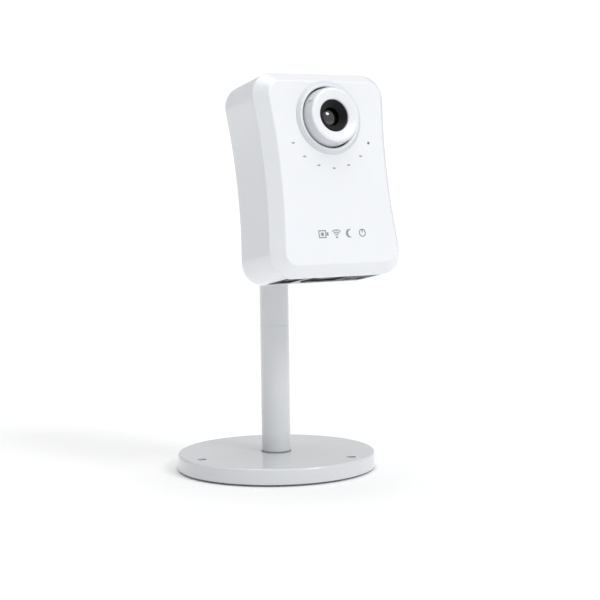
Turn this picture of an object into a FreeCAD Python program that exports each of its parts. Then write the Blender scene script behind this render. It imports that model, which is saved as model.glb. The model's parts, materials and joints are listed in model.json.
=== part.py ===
"""Desk-standing network camera: a slim upright head on a ball-jointed round pole and weighted base.

Millimetres, +Z up. The origin is the centre of the base's underside and the lens looks towards -Y.
The head is modelled level about its own centre and then tilted back about the ball of the stand.
"""

import FreeCAD, Part

import math
import os
import re

import Sketcher

Vector = FreeCAD.Vector

DIMENSIONS = {
    # Weighted base and its three fixing holes
    "base_radius": 48, "base_top": 8.4, "base_wall": 2.4, "base_rounding": 1.2,
    "pad_radius": 46, "pad_top": 1, "ballast_radius": 45.2, "ballast_top": 5.8,
    "hole_circle": 41, "hole_radius": 2.3, "hole_relief": 3,
    "ballast_screw_circle": 28, "ballast_screw_radius": 1.4, "ballast_screw_head": 3,
    "ballast_head_sink": 2, "ballast_pilot": 1.6, "head_play": 0.2,
    "pole_screw_radius": 2.45, "pole_screw_head": 4.6, "pole_screw_sink": 6.5, "sink_roof": 4.2,
    "washer_rim": 0.8, "washer_thickness": 0.6, "pole_screw_tip": 18,
    # Pole in two screwed lengths
    "pole_radius": 7, "pole_bore": 5.4, "gasket_radius": 7.25, "pole_foot": 8.9, "pole_joint": 70,
    "pole_top": 102.2, "foot_nut_top": 19, "joiner_reach": 10, "joiner_bore": 3.5,
    "plug_reach": 10, "swivel_screw_reach": 6,
    # Swivel, ball socket and clamp
    "plug_flange": 1.5, "swivel_gap": 0.3, "spigot_radius": 4, "spigot_top": 108, "spigot_bore": 4.05,
    "spigot_bore_top": 108.2, "swivel_web_top": 110.4, "swivel_hole": 1.75, "swivel_screw_radius": 1.5,
    "swivel_head": 2.9, "swivel_sink": 3.2, "swivel_head_top": 112.7,
    "touch_gap": 0.1, "socket_rounding": 2,
    "socket_radius": 11, "socket_top": 125.5, "socket_bore": 7.3, "slot_width": 7.4, "slot_foot": 114,
    "cap_top": 129, "cap_bore": 5.9, "ball_radius": 7, "ball_height": 120.7,
    "brake_radius": 3, "brake_front": 7.4, "brake_back": 8.7, "clamp_screw_radius": 2,
    "clamp_hole_start": 5, "knob_radius": 6.5, "knob_front": 11.6, "knob_back": 17, "knob_flute": 1,
    "knob_cover": 1, "cap_screw_x": 9.1, "cap_screw_y": 2.5, "cap_screw_radius": 1, "cap_screw_head": 1.7,
    "cap_head_height": 1.2, "cap_screw_reach": 6,
    # Stud between the ball and the head
    "stud_radius": 3.1, "stud_foot": 2, "stud_end": 29.9, "wheel_radius": 9.5, "wheel_back": 17,
    "wheel_front": 23.1, "thread_gap": 0.05, "reach": 23.4, "drop": 12, "tilt": 10.5,
    "wheel_flute": 0.8, "stud_bevel": 0.6, "overrun": 1, "weld": 0.01,
    # Head shell
    "width": 69.4, "height": 93, "depth": 35.8, "corner": 10.75, "waist": 2, "wall": 2.4,
    "cover_depth": 6.4, "chamfer_depth": 6.1, "chamfer_inset": 4.9, "face_wall": 2, "face_inset": 5.5,
    "tongue_inset": 2.5, "tongue_depth": 2, "rear_rounding": 5, "rear_inner_rounding": 2.6,
    "insert_radius": 5.5, "insert_depth": 8, "insert_boss": 8, "insert_boss_depth": 8.5,
    "case_screw_x": 25.4, "case_screw_high": 36, "case_screw_low": -22, "case_screw_radius": 1.15,
    "case_screw_head": 2.3, "case_screw_sink": 2.6, "case_screw_sink_depth": 5.9, "case_boss": 3.6,
    "case_boss_front": 2.6, "case_boss_meet": -2, "case_screw_tip": -9, "case_head_height": 1.8,
    "board_screw_x": 24.5, "board_screw_high": 27, "board_screw_low": -11, "board_screw_radius": 1,
    "board_screw_head": 2, "board_boss": 2.8, "board_pilot": 5, "board_screw_bite": 4.5,
    "board_head_height": 1.4, "boss_notch_gap": 0.4,
    "recess_width": 51, "recess_depth": 0.9, "recess_back": 9.5, "recess_front": -9.5, "recess_x": -0.5,
    "vent_width": 24, "vent_height": 1.6, "vent_pitch": 4, "vent_first": 14,
    "label_width": 30, "label_height": 14, "label_centre": -33, "label_depth": 0.2,
    # Lens, focus ring and the arc of small windows round the lens
    "lens_rise": 24.9, "bezel_radius": 17, "bezel_crest": 15.4, "bezel_bore": 14.1, "bezel_hole": 16.3,
    "bezel_height": 1.3, "bezel_land": 0.5, "bezel_inner_bevel": 0.4, "ring_radius": 13.4, "ring_nose": 12.8,
    "ring_height": 6.3, "ring_crest": 11, "ring_lip": 0.4, "ring_rounding": 0.9,
    "ring_bore": 7.4, "ring_funnel": 5.2, "ring_guide": 11.5, "ring_guide_end": -9.9,
    "ring_flange": 16, "ring_flange_front": -2.3, "ring_flange_back": -4.3, "ring_step": -4.5,
    "notch_width": 2, "notch_foot": 1.8, "notch_reach": 12, "notch_turn": 30,
    "mount_radius": 9.5, "mount_front": -4.9, "mount_flange": 24, "mount_flange_front": -20.9,
    "mount_bore_end": -19, "mount_aperture": 4, "mount_pocket": 10.4, "mount_pocket_roof": -20.2,
    "mount_screw_offset": 9.5, "mount_screw_head": 1.8, "mount_head_height": 1.2,
    "sensor_width": 8, "sensor_height": 6.5, "sensor_depth": 1, "filter_size": 10, "filter_depth": 0.6,
    "barrel_thread": 6.8, "barrel_radius": 7.2, "barrel_front": 4.6,
    "barrel_shoulder": -4.5, "barrel_back": -18, "barrel_pocket": 6.7, "barrel_pocket_end": 0.2,
    "front_lens_radius": 5.2, "front_lens_back": -2.8, "front_lens_dome": 1.9, "barrel_tunnel": 4.6,
    "rear_lens_radius": 5.4, "rear_lens_front": -14.5, "rear_lens_back": -17.4, "retainer_front": 4.4,
    "retainer_mouth": 6.4, "retainer_throat": 4.2, "retainer_lift": 0.2,
    "retainer_heel": 1,
    "arc_radius": 23.17, "arc_step": 20, "light_radius": 0.8, "mic_hole": 0.6, "light_back": -23,
    "boot_radius": 3.2, "boot_depth": 7.5, "boot_floor": 2, "mic_radius": 2.3, "mic_depth": 4.5,
    # Circuit board and what it carries
    "board_front": 6, "board_back": 7.6, "board_width": 57, "board_low": -41, "board_high": 41.5,
    "port_x": 0.5, "port_width": 16, "port_depth": 13.5, "port_height": 21, "port_wall": 2.1,
    "port_throat": 15, "port_contact": 0.3, "key_wall": 1, "key_width": 6, "key_step": 3,
    "contact_pitch": 1.02, "contact_width": 0.4, "contact_start": 3, "pin_recess": 1,
    "power_x": -19, "power_width": 9, "power_depth": 11,
    "power_height": 14, "power_bore": 3.1, "power_throat": 9.5, "power_pin": 1,
    "audio_x": 21, "audio_width": 6.5, "audio_depth": 5.5, "audio_height": 14, "audio_bore": 1.8,
    "audio_throat": 14, "audio_collar": 2.9, "audio_collar_foot": -46.2, "collar_play": 0.25,
    "reset_x": 14.2, "reset_y": 3.75, "reset_radius": 1.4, "reset_hole": 1.6, "reset_flange": 2.2,
    "reset_foot": -45.9, "reset_top": -43, "reset_switch_foot": -42.4, "reset_bevel": 0.3,
    "reset_flange_gap": 0.4, "switch_width": 4.5, "switch_height": 4.4,
    "chip_size": 14, "chip_height": 1.2, "processor_z": 22, "sink_size": 18, "sink_height": 5,
    "sink_base": 1.4, "fin_width": 1, "memory_width": 8, "memory_left": -12, "memory_right": 4,
    "memory_low": -7.6, "memory_high": 1.6, "radio_left": -22, "radio_right": -8, "radio_low": -4,
    "radio_high": 8, "radio_depth": 2.4, "antenna_width": 26, "antenna_low": 34.6, "antenna_high": 40.6,
    "antenna_depth": 0.8, "pulse_width": 15, "pulse_depth": 6, "pulse_low": -19, "pulse_high": -8,
    "capacitor_radius": 2.5, "capacitor_height": 5.5, "capacitor_z": -24, "capacitor_left": -19,
    "capacitor_middle": -12.6, "capacitor_right": 18,
}

HIGHEST_NODE_COUNT = 60
CLOSE = 0.01
LEAST_CUT = 0.001
CLAMP_FLUTES = 10
WHEEL_FLUTES = 24
VENT_ROWS = 5
FIN_COUNT = 6
CONTACT_COUNT = 8
LAST_ARC_STEP = 3

# A sketch is solved from this rough start
START_CENTRE = 20
START_RADIUS = 5
START_INSET = 1

doc = FreeCAD.newDocument("desk_camera")
sheet = doc.addObject("Spreadsheet::Sheet", "dim")
nodes = []


def fill_sheet():
    """Put each driving dimension in a row of the sheet: its name, its value and its alias."""
    for row, (name, size) in enumerate(DIMENSIONS.items(), 1):
        sheet.set(f"A{row}", name)
        sheet.set(f"B{row}", str(size))
        sheet.setAlias(f"B{row}", name)
    doc.recompute()


def linked(text):
    """Turn the dimension names in an expression into references to the sheet's cells."""
    def cell(word):
        return "dim." + word[0] if word[0] in DIMENSIONS else word[0]
    return re.sub(r"[a-z][a-z_]*", cell, text)


# ---------------------------------------------------------------- frames

def head_point(x, y, z):
    """The place in the model of a point of the level head, once it is tilted back about the ball."""
    back = f"(depth / 2 + reach - ({y}))"
    up = f"(drop + ({z}))"
    cosine = "cos(tilt * 1 deg)"
    sine = "sin(tilt * 1 deg)"
    return f"vector({x}; {up} * {sine} - {back} * {cosine}; ball_height + {back} * {sine} + {up} * {cosine})"


def about_x(angle):
    return f"rotation(vector(1; 0; 0); {angle})"


CAP_SCREW_PLACES = ("cap_screw_x", "0 - cap_screw_x")
BALL_POINT = "vector(0; 0; ball_height)"
HEAD = f"placement({head_point('0', '0', '0')}; {about_x('0 - tilt')})"
LENS_POINT = head_point("0", "0 - depth / 2", "lens_rise")
LENS = f"placement({LENS_POINT}; {about_x('90 - tilt')})"
STUD = f"placement({BALL_POINT}; {about_x('90 - tilt')})"
KNOB = f"placement({BALL_POINT}; {about_x('0 - 90')})"


def node(item, frame=None):
    """Name a finished sub-part and put it in its frame."""
    item.Label = item.Name
    if frame:
        item.setExpression("Placement", linked(frame))
    nodes.append(item)
    return item


# ---------------------------------------------------------------- primitives and booleans

def place(item, corner):
    for axis, text in zip("xyz", corner):
        item.setExpression(f"Placement.Base.{axis}", linked(text))
    return item


def place_in_head(item, point, turn="0"):
    """Put a single primitive at a point of the level head, turned about X and tilted with the head."""
    item.setExpression("Placement", linked(f"placement({head_point(*point)}; {about_x(turn + ' - tilt')})"))
    return item


def sized_box(name, low, high):
    box = doc.addObject("Part::Box", name)
    for side, start, end in zip(("Length", "Width", "Height"), low, high):
        box.setExpression(side, linked(f"({end}) - ({start})"))
    return box


def sized_cylinder(name, radius, length):
    cylinder = doc.addObject("Part::Cylinder", name)
    cylinder.setExpression("Radius", linked(radius))
    cylinder.setExpression("Height", linked(length))
    return cylinder


def block(name, low, high):
    """A box given by its lowest and highest corners."""
    return place(sized_box(name, low, high), low)


def head_block(name, low, high):
    """A box of the level head, given by its lowest and highest corners, as a sub-part of its own."""
    return node(place_in_head(sized_box(name, low, high), low))


def head_rod(name, radius, length, foot, turn):
    """A cylinder of the level head as a sub-part of its own; turn swings it from upright about X."""
    return node(place_in_head(sized_cylinder(name, radius, length), foot, turn))


def rod(name, radius, length, foot, towards=Vector(0, 0, 1)):
    """A cylinder given by its radius, its length, the centre of its foot and its direction."""
    cylinder = sized_cylinder(name, radius, length)
    cylinder.Placement = FreeCAD.Placement(Vector(), FreeCAD.Rotation(Vector(0, 0, 1), towards))
    return place(cylinder, foot)


def union(name, items):
    fusion = doc.addObject("Part::MultiFuse", name)
    fusion.Shapes = items
    return fusion


def cut(name, base, tools):
    tool = tools[0] if len(tools) == 1 else union(name + "_tools", tools)
    remainder = doc.addObject("Part::Cut", name)
    remainder.Base = base
    remainder.Tool = tool
    return remainder


def group(name, items):
    """Several equal fasteners or chips kept as one sub-part."""
    compound = doc.addObject("Part::Compound", name)
    compound.Links = items
    return compound


# ---------------------------------------------------------------- sketches and features

def new_body(name):
    return doc.addObject("PartDesign::Body", name)


def origin_feature(body, role):
    return next(item for item in body.Origin.OriginFeatures if item.Role == role)


def sketch_on(body, role, name, offset="0"):
    """A sketch on an origin plane of its own body, moved along the plane's normal."""
    sketch = body.newObject("Sketcher::SketchObject", f"{body.Name}_{name}")
    sketch.AttachmentSupport = (origin_feature(body, role), [""])
    sketch.MapMode = "FlatFace"
    sketch.setExpression("AttachmentOffset.Base.z", linked(offset))
    return sketch


def dimension(sketch, constraint, text):
    """Add a constraint whose size is an expression of the sheet."""
    index = sketch.addConstraint(constraint)
    sketch.setExpression(f"Constraints[{index}]", linked(text))


def locate(sketch, geometry, point, x, y):
    dimension(sketch, Sketcher.Constraint("DistanceX", -1, 1, geometry, point, 1.0), x)
    dimension(sketch, Sketcher.Constraint("DistanceY", -1, 1, geometry, point, 1.0), y)


def draw_polygon(sketch, points):
    """A closed outline of straight lines through points given as expressions."""
    count = len(points)
    turn = 2 * math.pi / count
    start = [Vector(START_CENTRE + START_RADIUS * math.cos(turn * i), START_RADIUS * math.sin(turn * i), 0)
             for i in range(count)]
    first = sketch.GeometryCount
    sketch.addGeometry([Part.LineSegment(start[i], start[(i + 1) % count]) for i in range(count)])
    for i in range(count):
        sketch.addConstraint(Sketcher.Constraint("Coincident", first + i, 2, first + (i + 1) % count, 1))
    for i, (x, y) in enumerate(points):
        locate(sketch, first + i, 1, x, y)


def draw_rectangle(sketch, x_low, y_low, x_high, y_high):
    draw_polygon(sketch, [(x_low, y_low), (x_high, y_low), (x_high, y_high), (x_low, y_high)])


def draw_circle(sketch, radius, x="0", y="0"):
    index = sketch.addGeometry(Part.Circle(Vector(1, 1, 0), Vector(0, 0, 1), 1))
    dimension(sketch, Sketcher.Constraint("Radius", index, 1.0), radius)
    locate(sketch, index, 3, x, y)


def draw_head_outline(sketch, inset):
    """The head's outline from the front, drawn in by an inset.

    Four corner arcs, level top and bottom lines, and two long arcs that draw the sides in to a waist.
    The corners keep their centres at every inset. The waist arcs are tangent to the corner arcs.
    """
    across = DIMENSIONS["width"] / 2 - DIMENSIONS["corner"]
    up = DIMENSIONS["height"] / 2 - DIMENSIONS["corner"]
    waist = DIMENSIONS["waist"]
    corner = DIMENSIONS["corner"] - START_INSET
    centres_apart = (up ** 2 + waist ** 2) / (2 * waist)
    long_radius = centres_apart - corner
    long_centre = across + centres_apart - waist
    lean = math.asin(up / centres_apart)
    quarter = math.pi / 2

    def arc(x, y, radius, begin, end):
        return Part.ArcOfCircle(Part.Circle(Vector(x, y, 0), Vector(0, 0, 1), radius), begin, end)

    edge = up + corner
    sketch.addGeometry([
        arc(across, up, corner, -lean, quarter),
        Part.LineSegment(Vector(across, edge, 0), Vector(-across, edge, 0)),
        arc(-across, up, corner, quarter, math.pi + lean),
        arc(-long_centre, 0, long_radius, -lean, lean),
        arc(-across, -up, corner, math.pi - lean, 3 * quarter),
        Part.LineSegment(Vector(-across, -edge, 0), Vector(across, -edge, 0)),
        arc(across, -up, corner, -quarter, lean),
        arc(long_centre, 0, long_radius, math.pi - lean, math.pi + lean),
    ])
    joins = [(0, 2, 1, 1), (1, 2, 2, 1), (2, 2, 3, 2), (3, 1, 4, 1),
             (4, 2, 5, 1), (5, 2, 6, 1), (6, 2, 7, 2), (7, 1, 0, 1)]
    for join in joins:
        sketch.addConstraint(Sketcher.Constraint("Tangent", *join))
    for index, side, end in ((0, "", ""), (2, "-", ""), (4, "-", "-"), (6, "", "-")):
        locate(sketch, index, 3, f"{side}1 * (width / 2 - corner)", f"{end}1 * (height / 2 - corner)")
        dimension(sketch, Sketcher.Constraint("Radius", index, corner), f"corner - ({inset})")
    radius = f"((height / 2 - corner)^2 + waist^2) / (2 * waist) - corner + ({inset})"
    for index in (3, 7):
        dimension(sketch, Sketcher.Constraint("Radius", index, long_radius), radius)


def pad(body, sketch, length, backwards=False):
    feature = body.newObject("PartDesign::Pad", sketch.Name + "_pad")
    feature.Profile = sketch
    feature.setExpression("Length", linked(length))
    feature.Reversed = backwards
    doc.recompute()
    return feature


def pocket(body, sketch, length=None, backwards=False):
    """Cut a sketch to a depth, or right through both ways, and make sure that something was cut."""
    before = body.Shape.Volume
    feature = body.newObject("PartDesign::Pocket", sketch.Name + "_pocket")
    feature.Profile = sketch
    if length is None:
        feature.Type = "ThroughAll"
        feature.Midplane = True
    else:
        feature.setExpression("Length", linked(length))
        feature.Reversed = backwards
    doc.recompute()
    if body.Shape.Volume > before - LEAST_CUT:
        raise RuntimeError(f"{feature.Name} cuts nothing")
    return feature


def turned(body, points):
    """A solid of revolution about the body's own Z axis from an outline of (radius, height) points."""
    sketch = sketch_on(body, "XZ_Plane", "profile")
    draw_polygon(sketch, points)
    feature = body.newObject("PartDesign::Revolution", body.Name + "_turned")
    feature.Profile = sketch
    feature.ReferenceAxis = (sketch, ["V_Axis"])
    doc.recompute()
    return feature


def around(body, feature, count):
    """Repeat a feature evenly round the body's own Z axis."""
    pattern = body.newObject("PartDesign::PolarPattern", feature.Name + "_round")
    pattern.Originals = [feature]
    pattern.Axis = (origin_feature(body, "Z_Axis"), [""])
    pattern.Angle = 360
    pattern.Occurrences = count
    body.Tip = pattern
    doc.recompute()
    return pattern


def edges_where(body, test):
    """Names of the body's edges whose bounding box passes a test."""
    edges = enumerate(body.Tip.Shape.Edges, 1)
    return [f"Edge{index}" for index, edge in edges if test(edge.BoundBox)]


def fillet(body, edges, radius):
    base = body.Tip
    feature = body.newObject("PartDesign::Fillet", f"{base.Name}_fillet")
    feature.Base = (base, edges)
    feature.setExpression("Radius", linked(radius))
    doc.recompute()
    return feature


def circle_at(body, height, radius):
    """Edges that lie at one height of a turned body and reach out to one radius."""
    def lies_there(box):
        flat = abs(box.ZMin - height) < CLOSE and abs(box.ZMax - height) < CLOSE
        return flat and abs(box.XMax - radius) < CLOSE
    return edges_where(body, lies_there)


def screw(name, head, head_low, head_high, shank, shank_low, shank_high, x="0", y="0"):
    """A plain upright screw: a head and a shank, each from one height to another."""
    top = rod(name + "_head", head, f"({head_high}) - ({head_low})", (x, y, head_low))
    stem = rod(name + "_shank", shank, f"({shank_high}) - ({shank_low})", (x, y, shank_low))
    return union(name, [top, stem])


def sideways_screw(name, x, z, head, head_back, head_front, shank, back, front):
    """A screw along the head's depth: head and shank, each from a rear plane forward to a front one."""
    forward = Vector(0, -1, 0)
    top = rod(name + "_head", head, f"({head_back}) - ({head_front})", (x, head_back, z), forward)
    stem = rod(name + "_shank", shank, f"({back}) - ({front})", (x, back, z), forward)
    return union(name, [top, stem])


def four_places(x, high, low):
    return [(side + x, level) for side in ("", "0 - ") for level in (high, low)]


# ---------------------------------------------------------------- base

def base_holes(body, radius):
    """Three fixing holes on one circle, the first straight out to the left."""
    sketch = sketch_on(body, "XY_Plane", "holes")
    draw_circle(sketch, radius, "0 - hole_circle", "0")
    around(body, pocket(body, sketch), 3)


def foot_pad():
    body = new_body("foot_pad")
    turned(body, [("0", "0"), ("pad_radius", "0"), ("pad_radius", "pad_top"), ("0", "pad_top")])
    base_holes(body, "hole_relief")
    node(body)


def ballast_plate():
    """Steel disc with a counterbore for the pole screw and three for the screws that hold it up."""
    body = new_body("ballast_plate")
    turned(body, [
        ("pole_screw_sink", "pad_top"), ("ballast_radius", "pad_top"), ("ballast_radius", "ballast_top"),
        ("pole_screw_radius", "ballast_top"), ("pole_screw_radius", "sink_roof"),
        ("pole_screw_sink", "sink_roof"),
    ])
    base_holes(body, "hole_relief")
    shank = sketch_on(body, "XY_Plane", "shank_hole")
    draw_circle(shank, "ballast_screw_radius", "ballast_screw_circle", "0")
    around(body, pocket(body, shank), 3)
    sink = sketch_on(body, "XY_Plane", "head_sink", "pad_top")
    draw_circle(sink, "ballast_screw_head + head_play", "ballast_screw_circle", "0")
    around(body, pocket(body, sink, "ballast_head_sink", backwards=True), 3)
    node(body)


def base_cover():
    """Round shell with a soft top edge, closed by the plate and the pad below."""
    body = new_body("base_cover")
    turned(body, [
        ("pole_screw_radius", "base_top - base_wall"), ("base_radius - base_wall", "base_top - base_wall"),
        ("base_radius - base_wall", "pad_top"), ("base_radius", "pad_top"), ("base_radius", "base_top"),
        ("pole_screw_radius", "base_top"),
    ])
    rim = circle_at(body, DIMENSIONS["base_top"], DIMENSIONS["base_radius"])
    fillet(body, rim, "base_rounding")
    base_holes(body, "hole_radius")
    pilot = sketch_on(body, "XY_Plane", "pilot", "base_top - base_wall")
    draw_circle(pilot, "ballast_screw_radius", "ballast_screw_circle", "0")
    around(body, pocket(body, pilot, "ballast_pilot", backwards=True), 3)
    node(body)


def ballast_screws():
    screws = []
    for index in range(3):
        angle = f"{120 * index} * 1 deg"
        x = f"ballast_screw_circle * cos({angle})"
        y = f"ballast_screw_circle * sin({angle})"
        seat = "pad_top + ballast_head_sink"
        screws.append(screw(f"ballast_screw_{index}", "ballast_screw_head", "pad_top + head_play", seat,
                            "ballast_screw_radius", seat, "base_top - base_wall + ballast_pilot", x, y))
    node(group("ballast_screws", screws))


# ---------------------------------------------------------------- pole

def tube(name, outer, inner, low, high, frame=None):
    body = new_body(name)
    turned(body, [(inner, low), (outer, low), (outer, high), (inner, high)])
    return node(body, frame)


def pole():
    """Two tubes screwed together over a joiner, on a thin gasket, pulled down by a screw from below."""
    tube("pole_gasket", "gasket_radius", "pole_screw_radius", "base_top", "pole_foot")
    tube("pole_lower", "pole_radius", "pole_bore", "pole_foot", "pole_joint")
    tube("pole_upper", "pole_radius", "pole_bore", "pole_joint", "pole_top")
    tube("pole_joiner", "pole_bore", "joiner_bore", "pole_joint - joiner_reach", "pole_joint + joiner_reach")
    tube("pole_foot_nut", "pole_bore", "pole_screw_radius", "pole_foot", "foot_nut_top")
    seat = "sink_roof - washer_thickness"
    tube("pole_washer", "pole_screw_head + washer_rim", "pole_screw_radius", seat, "sink_roof")
    node(screw("pole_screw", "pole_screw_head", "pad_top + head_play", seat,
               "pole_screw_radius", seat, "pole_screw_tip"))


def pole_top_plug():
    """Plug in the pole's mouth with a flange and the spigot that the socket turns on."""
    body = new_body("pole_top_plug")
    turned(body, [
        ("swivel_screw_radius", "pole_top - plug_reach"), ("pole_bore", "pole_top - plug_reach"),
        ("pole_bore", "pole_top"),
        ("pole_radius", "pole_top"), ("pole_radius", "pole_top + plug_flange"),
        ("spigot_radius", "pole_top + plug_flange"), ("spigot_radius", "spigot_top"),
        ("swivel_screw_radius", "spigot_top"),
    ])
    node(body)
    seat = "swivel_web_top + touch_gap"
    node(screw("swivel_screw", "swivel_head", seat, "swivel_head_top",
               "swivel_screw_radius", "pole_top - swivel_screw_reach", seat))


# ---------------------------------------------------------------- socket, clamp and ball

def front_slot(name, low, high):
    """The slot that the stud's neck rises through as the head tilts."""
    return block(name, ("0 - slot_width / 2", "0 - socket_radius - overrun", low),
                 ("slot_width / 2", "0", high))


def clamp_hole(name, radius, near, far):
    return rod(name, radius, f"({far}) - ({near})", ("0", near, "ball_height"), Vector(0, 1, 0))


def ball_socket():
    """Cup that turns on the spigot, holds the ball and is slotted in front."""
    outside = new_body("socket_outside")
    turned(outside, [
        ("spigot_bore", "pole_top + plug_flange + swivel_gap"),
        ("socket_radius", "pole_top + plug_flange + swivel_gap"), ("socket_radius", "socket_top"),
        ("socket_bore", "socket_top"), ("socket_bore", "ball_height"), ("swivel_sink", "ball_height"),
        ("swivel_sink", "swivel_web_top"), ("swivel_hole", "swivel_web_top"),
        ("swivel_hole", "spigot_bore_top"), ("spigot_bore", "spigot_bore_top"),
    ])
    foot = circle_at(outside, DIMENSIONS["pole_top"] + DIMENSIONS["plug_flange"] + DIMENSIONS["swivel_gap"],
                     DIMENSIONS["socket_radius"])
    fillet(outside, foot, "socket_rounding")
    hollow = doc.addObject("Part::Sphere", "socket_hollow")
    hollow.setExpression("Radius", linked("socket_bore"))
    place(hollow, ("0", "0", "ball_height"))
    tools = [
        hollow,
        front_slot("socket_slot", "slot_foot", "socket_top + overrun"),
        clamp_hole("socket_thread", "clamp_screw_radius + thread_gap", "clamp_hole_start",
                   "socket_radius + overrun"),
        clamp_hole("socket_pad_room", "brake_radius + thread_gap", "clamp_hole_start", "brake_back"),
    ]
    tools += [rod(f"socket_pilot_{index}", "cap_screw_radius", "cap_screw_reach",
                  (x, "cap_screw_y", "socket_top - cap_screw_reach"))
              for index, x in enumerate(CAP_SCREW_PLACES)]
    node(cut("ball_socket", outside, tools))


def socket_cap():
    """Ring that keeps the ball down, open in front for the neck, and its two screws."""
    ring = rod("cap_disc", "socket_radius", "cap_top - socket_top", ("0", "0", "socket_top"))
    tools = [
        rod("cap_mouth", "cap_bore", "cap_top", ("0", "0", "socket_top - overrun")),
        front_slot("cap_slot", "socket_top - overrun", "cap_top + overrun"),
    ]
    tools += [rod(f"cap_screw_hole_{index}", "cap_screw_radius", "cap_top - socket_top + 2 * overrun",
                  (x, "cap_screw_y", "socket_top - overrun"))
              for index, x in enumerate(CAP_SCREW_PLACES)]
    node(cut("socket_cap", ring, tools))
    node(group("cap_screws", [
        screw(f"cap_screw_{index}", "cap_screw_head", "cap_top", "cap_top + cap_head_height",
              "cap_screw_radius", "socket_top - cap_screw_reach", "cap_top", x, "cap_screw_y")
        for index, x in enumerate(CAP_SCREW_PLACES)]))
    node(clamp_hole("brake_pad", "brake_radius", "brake_front", "brake_back"))


def fluted_wheel(name, radius, low, high, bore, flutes, flute_radius):
    """A hand wheel with flutes round its rim and softened edges."""
    body = new_body(name)
    turned(body, [(bore, low), (radius, low), (radius, high), (bore, high)])
    sketch = sketch_on(body, "XY_Plane", "flute")
    draw_circle(sketch, flute_radius, f"{radius} + {flute_radius} / 2", "0")
    around(body, pocket(body, sketch), flutes)
    return body


def clamp():
    """Knob behind the socket with the screw that presses the brake pad on the ball."""
    node(fluted_wheel("clamp_knob", "knob_radius", "knob_front", "knob_back", "clamp_screw_radius",
                      CLAMP_FLUTES, "knob_flute"), KNOB)
    node(clamp_hole("clamp_screw", "clamp_screw_radius", "brake_back + touch_gap", "knob_back - knob_cover"))


def ball_and_stud():
    sphere = doc.addObject("Part::Sphere", "ball_round")
    sphere.setExpression("Radius", linked("ball_radius"))
    bore = rod("ball_bore", "stud_radius", "ball_radius", ("0", "0", "stud_foot"))
    node(cut("ball", sphere, [bore]), STUD)
    body = new_body("ball_stud")
    turned(body, [("0", "stud_foot"), ("stud_radius", "stud_foot"), ("stud_radius", "stud_end - stud_bevel"),
                  ("stud_radius - stud_bevel", "stud_end"), ("0", "stud_end")])
    node(body, STUD)
    wheel = fluted_wheel("lock_wheel", "wheel_radius", "wheel_back", "wheel_front",
                         "stud_radius + thread_gap", WHEEL_FLUTES, "wheel_flute")
    node(wheel, STUD)


# ---------------------------------------------------------------- head shell

def cover_back():
    """Depth of the parting plane between the two halves of the shell."""
    return "cover_depth - depth / 2"


def front_cover():
    """Shallow front half: bevelled edge, lens hole, small holes on the arc and a tongue behind."""
    body = new_body("front_cover")
    outline = sketch_on(body, "XZ_Plane", "outline", f"0 - ({cover_back()})")
    draw_head_outline(outline, "0")
    pad(body, outline, "cover_depth")
    face = -DIMENSIONS["depth"] / 2
    rim = edges_where(body, lambda box: abs(box.YMin - face) < CLOSE and abs(box.YMax - face) < CLOSE)
    slab = body.Tip
    bevel = body.newObject("PartDesign::Chamfer", "front_cover_bevel")
    bevel.Base = (slab, rim)
    bevel.ChamferType = "Two distances"
    bevel.FlipDirection = True
    bevel.setExpression("Size", linked("chamfer_inset"))
    bevel.setExpression("Size2", linked("chamfer_depth"))
    doc.recompute()
    tongue = sketch_on(body, "XZ_Plane", "tongue", f"0 - ({cover_back()}) - tongue_depth")
    draw_head_outline(tongue, "tongue_inset")
    pad(body, tongue, "tongue_depth + weld")
    hollow = sketch_on(body, "XZ_Plane", "hollow", f"0 - ({cover_back()}) - tongue_depth")
    draw_head_outline(hollow, "face_inset")
    pocket(body, hollow, "cover_depth + tongue_depth - face_wall", backwards=True)
    bosses = sketch_on(body, "XZ_Plane", "bosses", "0 - case_boss_meet")
    for x, z in four_places("case_screw_x", "case_screw_high", "case_screw_low"):
        draw_circle(bosses, "case_boss_front", x, z)
    pad(body, bosses, "depth / 2 - face_wall + case_boss_meet")
    pilots = sketch_on(body, "XZ_Plane", "pilots", "0 - case_boss_meet")
    for x, z in four_places("case_screw_x", "case_screw_high", "case_screw_low"):
        draw_circle(pilots, "case_screw_radius", x, z)
    pocket(body, pilots, "case_boss_meet - case_screw_tip", backwards=True)
    openings = sketch_on(body, "XZ_Plane", "openings", "depth / 2")
    draw_circle(openings, "bezel_hole", "0", "lens_rise")
    for step in range(-LAST_ARC_STEP, LAST_ARC_STEP + 1):
        x, z = arc_place(step)
        draw_circle(openings, "mic_hole" if step == LAST_ARC_STEP else "light_radius", x, z)
    pocket(body, openings, "face_wall + overrun")
    node(body, HEAD)


def arc_place(step):
    """A place on the arc below the lens, counted in steps to the right from straight down."""
    angle = f"({step} * arc_step * 1 deg)"
    return f"arc_radius * sin{angle}", f"lens_rise - arc_radius * cos{angle}"


def rear_cover():
    """Deep rear half: hollow, round-backed, with vents, screw bosses, port holes and the stud boss."""
    body = new_body("rear_cover")
    outline = sketch_on(body, "XZ_Plane", "outline", "0 - depth / 2")
    draw_head_outline(outline, "0")
    pad(body, outline, "depth - cover_depth")
    back = DIMENSIONS["depth"] / 2
    fillet(body, edges_where(body, lambda box: box.YMin > back - CLOSE), "rear_rounding")
    hollow = sketch_on(body, "XZ_Plane", "hollow", f"0 - ({cover_back()})")
    draw_head_outline(hollow, "wall")
    pocket(body, hollow, "depth - cover_depth - wall")
    floor = back - DIMENSIONS["wall"]
    rim = edges_where(body, lambda box: abs(box.YMin - floor) < CLOSE and abs(box.YMax - floor) < CLOSE)
    fillet(body, rim, "rear_inner_rounding")
    rear_bosses(body)
    rear_cuts(body)
    bottom_cuts(body)
    node(body, HEAD)


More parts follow.
